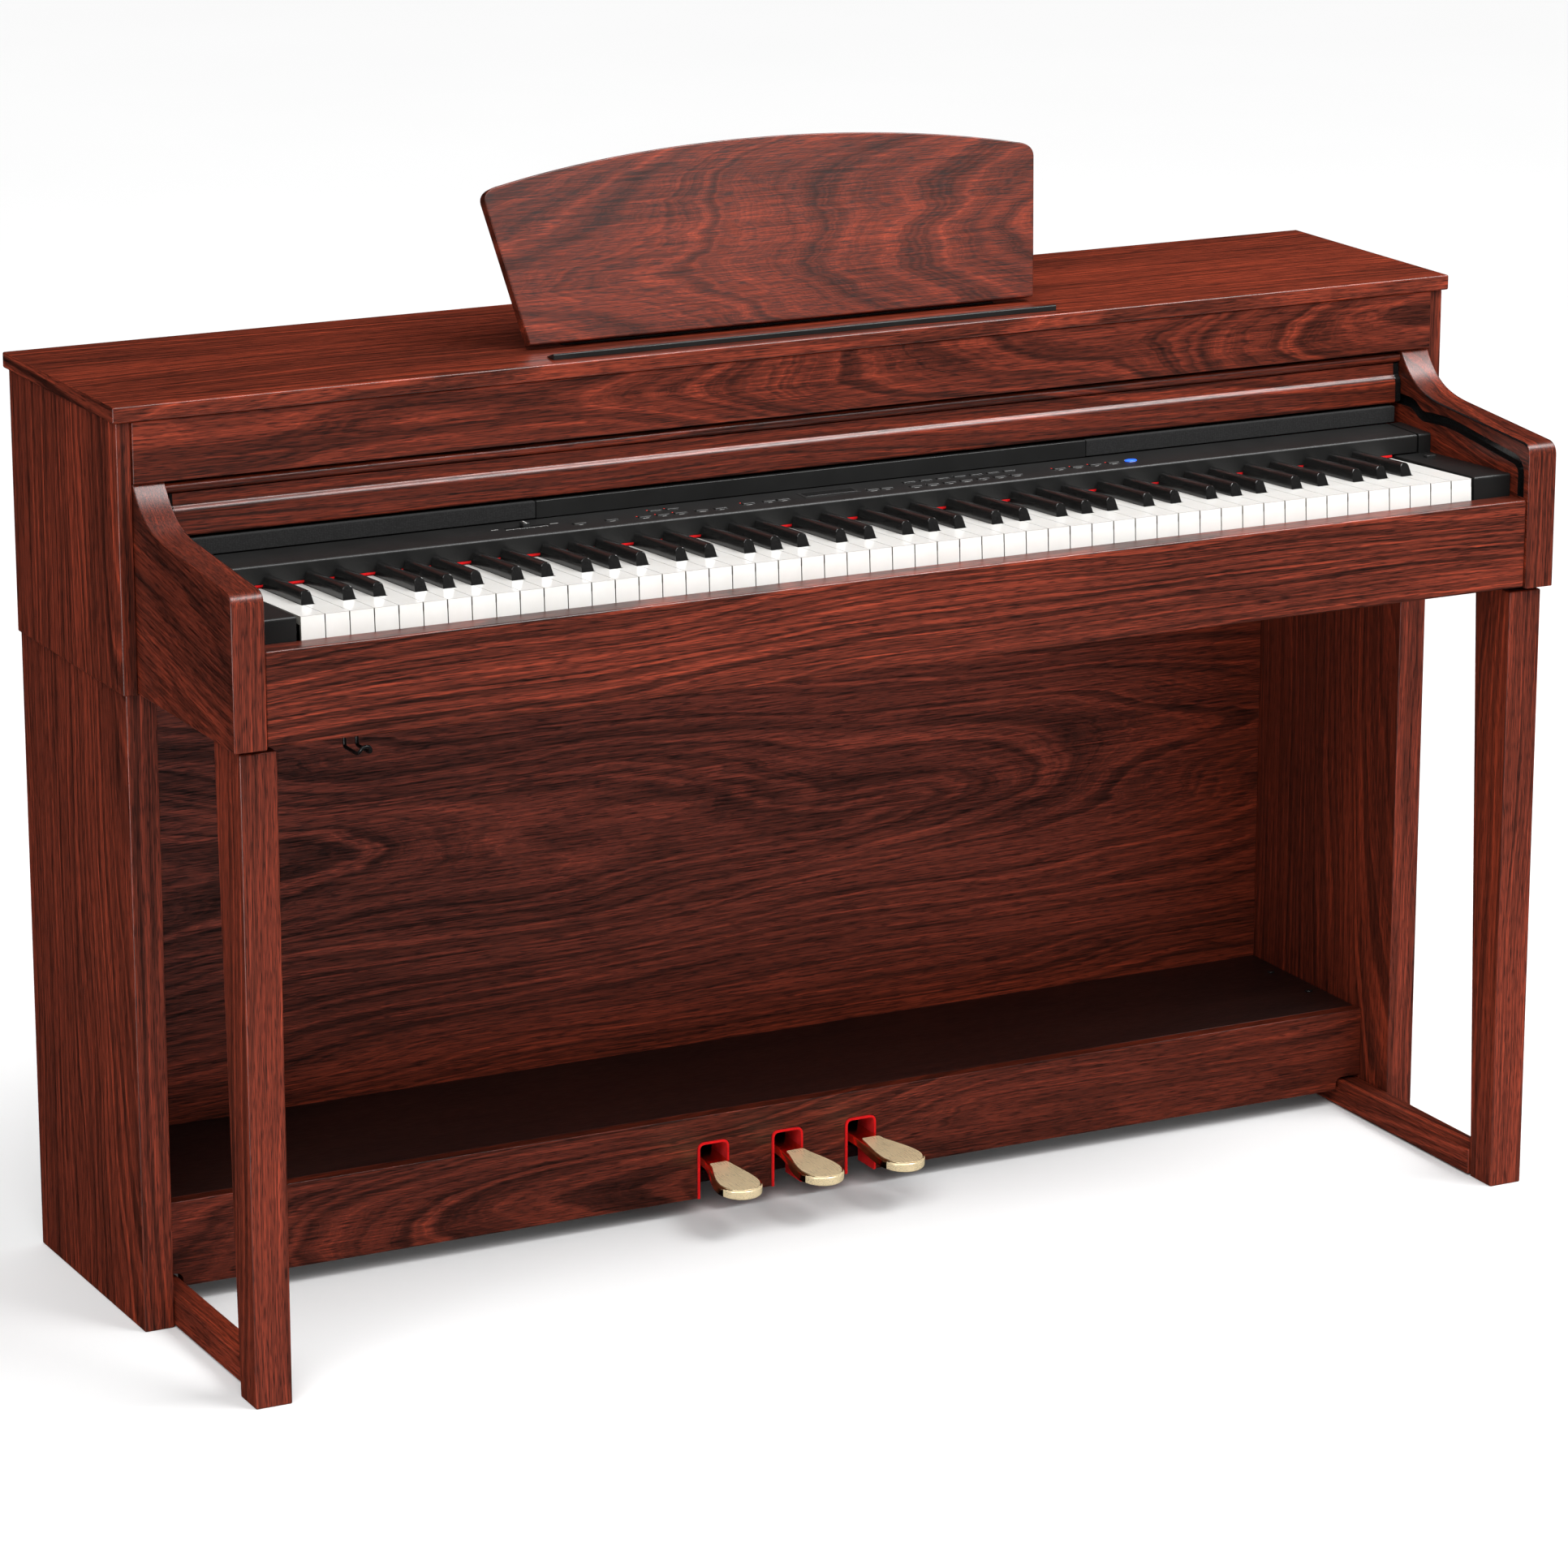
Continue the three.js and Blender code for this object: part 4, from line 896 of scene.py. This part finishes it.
def make_buttons():
    """Soft-edged caps, each ringed by a flush gloss-black sheet a little darker than the panel: painted
    shade for the gap around the cap.
    """
    bm = bmesh.new()
    for x, y in buttons():
        top = panel_height(y)
        half_x, half_y = BUTTON_WIDTH / 2, BUTTON_DEPTH / 2
        add_block(bm, (x - half_x, y - half_y, top - 2), (x + half_x, y + half_y, top + 1.1),
                  0.7, 3, 0)
    piece("button_caps", bm, [BLACK_CAP], PIANO, ["panel_buttons"])
    # Flush dark rings around the caps: painted shade for the gaps.
    bm = bmesh.new()
    for x, y in buttons() + [LIT_BUTTON]:
        top = panel_height(y)
        half_x, half_y = BUTTON_WIDTH / 2 + 0.5, BUTTON_DEPTH / 2 + 0.5
        add_block(bm, (x - half_x, y - half_y, top - 1), (x + half_x, y + half_y, top + 0.06),
                  0.03, 1)
    piece("button_gap_painted_shade", bm, [GLOSS_BLACK], PIANO)
    x, y = LIT_BUTTON
    bm = bmesh.new()
    add_rod(bm, 4.2, (x, y, panel_height(y) - 1), (x, y, panel_height(y) + 1.1), 32, 0.6)
    bmesh.ops.scale(bm, vec=(1.5, 1, 1), verts=bm.verts,
                    space=Matrix.Translation((-x * MM, -y * MM, 0)))
    piece("lit_button", bm, [BLUE_LAMP], PIANO)


def add_mark(bm, x0, x1, y0, y1, material=0):
    """A printed mark, a tenth of a millimetre proud of the panel."""
    height = panel_height((y0 + y1) / 2)
    add_block(bm, (x0, y0, height - 0.2), (x1, y1, height + 0.12), 0, 1, material)


def make_marks():
    """Short printed dashes by the buttons, a wedge for the slider and small lamps."""
    bm = bmesh.new()
    for number, (x, y) in enumerate(buttons() + [LIT_BUTTON]):
        above = y + BUTTON_DEPTH / 2 + 1.6
        below = y - BUTTON_DEPTH / 2 - 2.6
        spread = 3.2 + (number * 7 % 5) * 0.5
        add_mark(bm, x - spread, x - 0.6, above, above + 0.8)
        add_mark(bm, x + 0.2, x + spread * 0.8, above, above + 0.8)
        if y < -55:
            add_mark(bm, x - spread * 0.8, x + spread * 0.5, below, below + 0.8)
    for x, y in LAMP_BUTTONS:
        add_mark(bm, x - 6.6, x - 5.4, y + BUTTON_DEPTH / 2 + 1.4, y + BUTTON_DEPTH / 2 + 2.6, 1)
    scale_front = SLIDER_Y - 5
    add_mark(bm, SLIDER_X - 21, SLIDER_X + 21, scale_front, scale_front + 0.5)
    for tick in range(7):
        x = SLIDER_X - 21 + tick * 7
        add_mark(bm, x - 0.3, x + 0.3, scale_front - 1.5, scale_front)
    add_mark(bm, SLIDER_X - 34, SLIDER_X - 27, SLIDER_Y - 0.5, SLIDER_Y + 0.5)
    add_mark(bm, SLIDER_X + 26, SLIDER_X + 34, SLIDER_Y - 0.5, SLIDER_Y + 0.5)
    piece("panel_marks", bm, [INK, RED_LAMP], PIANO)


def make_display():
    """A dark window with a raised frame, between the two groups of buttons."""
    x0, x1, y0, y1 = -30, 30, -64, -44
    bm = bmesh.new()
    z = panel_height(y0)
    add_block(bm, (x0, y0, z - 1), (x1, y1, z + 0.7), 0.4, 2, 0)
    add_block(bm, (x0 + 3, y0 + 3, z), (x1 - 3, y1 - 3, z + 0.85), 0.1, 1, 1)
    piece("display", bm, [BLACK_CAP, DISPLAY], PIANO)


def make_slider():
    z = panel_height(SLIDER_Y)
    reach = SLIDER_TRAVEL + 3
    # The slot is a flush gloss-black strip on the panel: painted shade for the opening.
    bm = bmesh.new()
    add_block(bm, (SLIDER_X - reach, SLIDER_Y - 1.5, z - 1), (SLIDER_X + reach, SLIDER_Y + 1.5, z + 0.05))
    piece("slider_slot_painted_shade", bm, [GLOSS_BLACK], PIANO)
    bm = bmesh.new()
    add_block(bm, (SLIDER_X - 3.5, SLIDER_Y - 4.5, z + 0.4), (SLIDER_X + 3.5, SLIDER_Y + 4.5, 744), 0.9, 3)
    # An index line along the knob's top in bright ivory white: partly a printed line, partly a painted
    # highlight for the knob's bright highlight.
    add_block(bm, (SLIDER_X - 0.5, SLIDER_Y - 4.3, 743.2), (SLIDER_X + 0.5, SLIDER_Y + 4.3, 744.08), 0, 1, 1)
    piece("slider_knob", bm, [BLACK_CAP, IVORY], "volume_knob", ["volume_slider"])


def make_end_blocks():
    """The blocks beside the end keys, with the raised parts beside the panel."""
    for side, sign in (("left", -1), ("right", 1)):
        (x0, front, _), (x1, _, _) = box_mm(f"end_block_{side}")
        outline = [(front, 640), (-40, 640), (-40, 718), (front + 3, 726)]
        outline += quadratic((front + 3, 726), (front, 726), (front, 723), 5)
        bm = bmesh.new()
        add_prism(bm, outline, "x", x0, x1, 0.9, 3)
        inner, outer = sorted((sign * 645, sign * 659.1))
        radius = 2.6
        raised = [(PANEL_FRONT, 700)]
        raised += arc((PANEL_FRONT + radius, PANEL_TOP - radius), radius, 180, 90, 6)
        raised += [(PANEL_BACK, PANEL_TOP + PANEL_RISE), (PANEL_BACK, 700)]
        add_prism(bm, raised, "x", inner, outer, 0.6, 2)
        piece(f"end_block_{side}_shell", bm, [BLACK], PIANO,
              [f"end_block_{side}"])
    low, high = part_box("power_button")
    bm = bmesh.new()
    add_block(bm, low / MM, high / MM, 1.0, 3)
    piece("power_button_cap", bm, [BLACK_CAP], "power_cap", ["power_button"])


def make_grille():
    """A bar whose two ends are covered with cloth over the tweeters."""
    (_, y0, z0), (x, y1, z1) = box_mm("grille_bar")
    bm = bmesh.new()
    for x0, x1, material in ((-x, -295, 1), (-294.4, 294.4, 0), (295, x, 1)):
        radius = 1.2 if material else 0.7
        add_block(bm, (x0, y0, z0), (x1, y1, z1), radius, 3, material)
    colour_faces(bm, lambda normal, centre: 1 if abs(centre.x) > 294.7 else 0)
    piece("grille_bar_cover", bm, [BLACK, CLOTH], PIANO, ["grille_bar"])


# ----------------------------------------------------------- lid and its rest


def make_ledge():
    (_, front, z0), (x, back, z1) = box_mm("ledge_strip")
    outline = [(front, z0), (back, z0), (back, z0 + 0.6), (front + 2.2, z1)]
    outline += quadratic((front + 2.2, z1), (front, z1), (front, z1 - 1.4), 4)
    bm = bmesh.new()
    add_prism(bm, outline, "x", -x, x, 0.5, 2)
    piece("ledge_strip_cover", bm, [BLACK], PIANO, ["ledge_strip"])


def rest_outline():
    """The rest's outline about its pivot: across, then up the board."""
    bottom, apex = -6, 171.7
    right = [(270, bottom), (294, 131)]
    right += quadratic((294, 131), (295.5, apex - 28), (276, apex - 25.5), 8)
    right += bezier((276, apex - 25.5), (190, apex - 8), (95, apex), (0, apex), 22)
    return right + mirrored(right[:-1])


def rest_matrix():
    return Matrix.Translation(REST_PIVOT) @ Matrix.Rotation(-REST_LEAN, 4, "X")


def make_rest():
    back = -REST_BEHIND
    bm = bmesh.new()
    add_prism(bm, rest_outline(), "y", back - REST_THICK, back, 1.3, 3, 0, (0,))
    piece("rest_board", bm, [WOOD_REST], "rest", ["music_rest"], rest_matrix())
    bm = bmesh.new()
    for x in (-HINGE_X, HINGE_X):
        add_rod(bm, 3.5, (x - 8, 0, 0), (x + 8, 0, 0), 24, 0.4)
        add_block(bm, (x - 8, back, -3), (x + 8, -1.6, 22), 0.6, 2)
        add_rod(bm, 2.4, (x, -1.8, 15), (x, -0.9, 15), 16, 0.3)
    for x in (-STAY_X, STAY_X):
        add_block(bm, (x - 12, back, STAY_LENGTH - 9), (x + 12, back + 1, STAY_LENGTH + 9), 0.4, 2)
        for dx in (6, -9):
            add_block(bm, (x + dx, back, STAY_LENGTH - 4), (x + dx + 3, 3, STAY_LENGTH + 4), 0.8, 2)
    piece("rest_fittings", bm, [BLACK_PAINT], "rest", matrix=rest_matrix())
    paint("rest_hinge", BLACK_PAINT)
    for side in ("left", "right"):
        paint(f"rest_stay_{side}", STEEL)


# --------------------------------------------------------------- pedals, stand

SLOT_CENTRES = (-PEDAL_SPACING, 0, PEDAL_SPACING)


def slot_edge(x, inset, bottom):
    """A slot's edge from its bottom left over the top to its bottom right, in (x, z)."""
    half, top, corner = SLOT_HALF - inset, SLOT_TOP - inset, 8 - inset
    edge = [(x - half, bottom), (x - half, top - corner)]
    edge += quadratic(edge[-1], (x - half, top), (x - half + corner, top), 5)
    edge.append((x + half - corner, top))
    edge += quadratic(edge[-1], (x + half, top), (x + half, top - corner), 5)
    edge.append((x + half, bottom))
    return edge


def make_pedal_board():
    (_, y0, z0), (x, y1, z1) = box_mm("pedal_board")
    notch_x, notch_z, corner = 642, 32.5, 8
    left = [(-x, z1), (-x, notch_z), (-notch_x - corner, notch_z)]
    left += quadratic(left[-1], (-notch_x, notch_z), (-notch_x, notch_z - corner), 5)
    left.append((-notch_x, z0))
    outline = list(left)
    for centre in SLOT_CENTRES:
        outline += slot_edge(centre, 0, z0)
    outline += mirrored(left)
    bm = bmesh.new()
    add_prism(bm, outline, "y", y0, y1, 0.8, 2)
    piece("pedal_board_wood", bm, [WOOD_PEDAL_BOARD], PIANO, ["pedal_board"])


def make_slot_lining():
    """Three red hoops that stand a little proud of the board."""
    (_, y0, z0), (_, y1, _) = box_mm("slot_lining")
    bm = bmesh.new()
    for x in SLOT_CENTRES:
        hoop = slot_edge(x, 0.3, z0) + slot_edge(x, 2.8, z0)[::-1]
        add_prism(bm, hoop, "y", y0, y1, 0.7, 3)
    add_block(bm, (-PEDAL_SPACING, 47.2, 71), (PEDAL_SPACING, 49.2, 85), 0.4, 2)
    piece("slot_lining_red", bm, [RED_LINING], PIANO, ["slot_lining"])


def smooth_step(value, low, high):
    t = min(max((value - low) / (high - low), 0), 1)
    return t * t * (3 - 2 * t)


def fan(side, y):
    """How far a pedal bends to its side at a distance from its axle."""
    return side * 8 * smooth_step(-y, 105, 200)


def pedal_outline(side):
    """A pedal from above about its axle; side is -1, 0 or 1."""
    lever_half, tip_half, tip, tip_length = 12, 23, -215, 27
    widest = tip + tip_length
    edge = [(lever_half, 26), (lever_half, -60)]
    for i in range(17):
        y = -105 + (widest + 105) * i / 16
        edge.append((lever_half + (tip_half - lever_half) * smooth_step(-y, 118, -widest), y))
    for i in range(1, 12):
        angle = i * math.pi / 24
        edge.append((tip_half * math.cos(angle), widest - tip_length * math.sin(angle)))
    edge.append((0, tip))
    right = [(x + fan(side, y), y) for x, y in edge]
    left = [(-x + fan(side, y), y) for x, y in edge[:-1]]
    return right + left[::-1]


PLATE_REAR = -133
PLATE_FRONT = -212.4
PLATE_RIM = -185


def plate_outline(side):
    """The polished plate on a pedal: the pedal's outline, moved in from its edge, less
    at the tip than at the back, where the plate ends with rounded corners."""
    points = [point for point in pedal_outline(side) if point[1] < PLATE_REAR - 4]
    outline = []
    for x, y in points:
        middle = fan(side, y)
        back = smooth_step(y, -200, PLATE_REAR)
        half = abs(x - middle)
        inset = min(2.2 + 1.6 * back, half)
        outline.append((middle + math.copysign(half - inset, x - middle), max(y, PLATE_FRONT)))
    first, last = outline[0], outline[-1]
    back_left = (last[0] + 3.5, PLATE_REAR)
    back_right = (first[0] - 3.5, PLATE_REAR)
    outline += quadratic(last, (last[0] + 0.3, PLATE_REAR), back_left, 5)
    outline.append(back_right)
    outline += quadratic(back_right, (first[0] - 0.3, PLATE_REAR), first, 5)[:-1]
    return outline


def make_pedal(name, side):
    """A cast pedal with round shoulders and a flat polished plate on top."""
    bm = bmesh.new()
    add_prism(bm, pedal_outline(side), "z", -1.6, 7.9, 2.2, 5)
    add_prism(bm, plate_outline(side), "z", 6.4, 8.5, 0.5, 3, 1)
    add_rod(bm, 9, (-12, 0, 0), (12, 0, 0), 32, 0.8)
    # The plate and the front rim faces take the pale brass: painted reflection.
    colour_faces(bm, lambda normal, centre: 1 if normal.y < -0.3 and centre.y < PLATE_RIM else None)
    where = Vector((side * PEDAL_SPACING * MM, 0, 0)) + PEDAL_AXLE
    matrix = Matrix.Translation(where) @ Matrix.Rotation(PEDAL_TILT, 4, "X")
    piece(f"{name}_brass", bm, [BRASS, BRASS_PLATE_PAINTED_REFLECTION], name.replace("pedal_", "") + "_pedal",
          [name], matrix, 50)


def make_screws():
    """Round-headed screws that hold the shelf, two at each end."""
    top = box_mm("pedal_shelf")[1][2]
    bm = bmesh.new()
    for x in (-655, 655):
        for y in (110, 185):
            add_rod(bm, 4.2, (x, y, top - 0.4), (x, y, top + 1.7), 24, 1.2)
    piece("shelf_screws", bm, [BLACK_PAINT], PIANO)


def make_hook():
    left, right, run = -568, -556, 598
    middle = (left + right) / 2
    half = [(left, -212, 612), (left, -212, run + 4)]
    half += bezier(half[-1], (left, -212, run + 1), (left, -213, run), (left, -217, run), 6)
    half.append((left, -236, run))
    half += bezier(half[-1], (left, -243, run), (left, -246, run + 3), (middle - 3, -247, run + 7), 8)
    arch = [(middle, -247.1, run + 7.6)]
    other = [(left + right - x, y, z) for x, y, z in reversed(half)]
    bm = bmesh.new()
    add_tube(bm, half + arch + other, 1.7)
    top = box_mm("headphone_hook")[1][2]
    add_block(bm, (left - 8, -218, 611.2), (right + 8, -200, top), 0.8, 2)
    for x in (left - 4, right + 4):
        add_rod(bm, 2.2, (x, -206, 610.4), (x, -206, 612), 16, 0.6)
    piece("headphone_hook_wire", bm, [BLACK_PAINT], PIANO, ["headphone_hook"])


def make_pedals_and_stand():
    make_pedal_board()
    make_slot_lining()
    for side, name in ((-1, "pedal_left"), (0, "pedal_centre"), (1, "pedal_right")):
        make_pedal(name, side)
    make_screws()
    make_hook()
    paint("pedal_frame", BLACK_PAINT)
    paint("power_inlet", BLACK)
    paint("circuit_board", CIRCUIT)
    for side in ("left", "right"):
        paint(f"speaker_{side}", CONE)


# ------------------------------------------------------------ floor and light


def make_floor():
    s = Shader("pale_floor", (0.93, 0.93, 0.93), 0.85)
    mottle = s.noise(s.coords(), scale=1.2, detail=2)
    s.colour(s.ramp(mottle, (0.3, (0.925, 0.925, 0.925)), (0.7, (0.935, 0.935, 0.935))))
    bm = bmesh.new()
    bmesh.ops.create_grid(bm, x_segments=4, y_segments=4, size=30)
    floor = mesh_object("floor", bm, [s.material])
    floor.visible_glossy = False


def aim(thing, target):
    thing.rotation_mode = "QUATERNION"
    direction = Vector(target) - Vector(thing.location)
    thing.rotation_quaternion = direction.to_track_quat("-Z", "Y")


def add_light(name, kind, location, target, energy, card=False, **settings):
    """Adds a light. A card only shows as a reflection in glossy surfaces."""
    data = bpy.data.lights.new(name, kind)
    data.energy = energy
    for key, value in settings.items():
        setattr(data, key, value)
    light = bpy.data.objects.new(name, data)
    light.location = location
    light.visible_camera = False
    light.visible_diffuse = not card
    aim(light, target)
    bpy.context.scene.collection.objects.link(light)


def make_light():
    scene = bpy.context.scene
    scene.view_settings.view_transform = "Standard"
    world = bpy.data.worlds.new("studio")
    world.use_nodes = True
    background = world.node_tree.nodes["Background"]
    background.inputs["Color"].default_value = (1, 1, 1, 1)
    background.inputs["Strength"].default_value = 0.72
    world.cycles_visibility.glossy = False
    scene.world = world
    add_light("high_sun", "SUN", (-1.7, -2.4, 3.6), (0, 0, 0.4), 1.5, angle=math.radians(40))
    add_light("overhead_softbox", "AREA", (1.6, -1.6, 3.7), (0.1, -0.1, 0.75), 130,
              shape="RECTANGLE", size=2.8, size_y=1.6)
    add_light("overhead_card", "AREA", (1.6, -1.2, 3.7), (0.1, -0.1, 0.75), 120, True,
              shape="RECTANGLE", size=2.8, size_y=1.0)
    add_light("left_card", "AREA", (-2.3, -1.1, 0.15), (-0.7, -0.2, 0.6), 30, True,
              shape="RECTANGLE", size=0.5, size_y=1.0)


CAMERA_PLACE = Vector((-2.527, -4.903, 1.969))
CAMERA_AZIMUTH = math.radians(27.08)
CAMERA_PITCH = math.radians(15.5)
CAMERA_LENS = 135.4


def make_camera():
    data = bpy.data.cameras.new("camera")
    data.sensor_width = 36
    data.lens = CAMERA_LENS
    camera = bpy.data.objects.new("camera", data)
    camera.location = CAMERA_PLACE
    direction = Vector((math.sin(CAMERA_AZIMUTH) * math.cos(CAMERA_PITCH),
                        math.cos(CAMERA_AZIMUTH) * math.cos(CAMERA_PITCH),
                        -math.sin(CAMERA_PITCH)))
    aim(camera, CAMERA_PLACE + direction)
    bpy.context.scene.collection.objects.link(camera)
    bpy.context.scene.camera = camera


make_boards()
make_bullnose()
for arm_side in ("left", "right"):
    make_arm(arm_side)
    make_leg(arm_side)
make_keybed()
make_cover()
make_keyboard()
make_panel()
make_buttons()
make_marks()
make_display()
make_slider()
make_end_blocks()
make_grille()
make_ledge()
make_rest()
make_pedals_and_stand()
make_floor()
make_light()
make_camera()
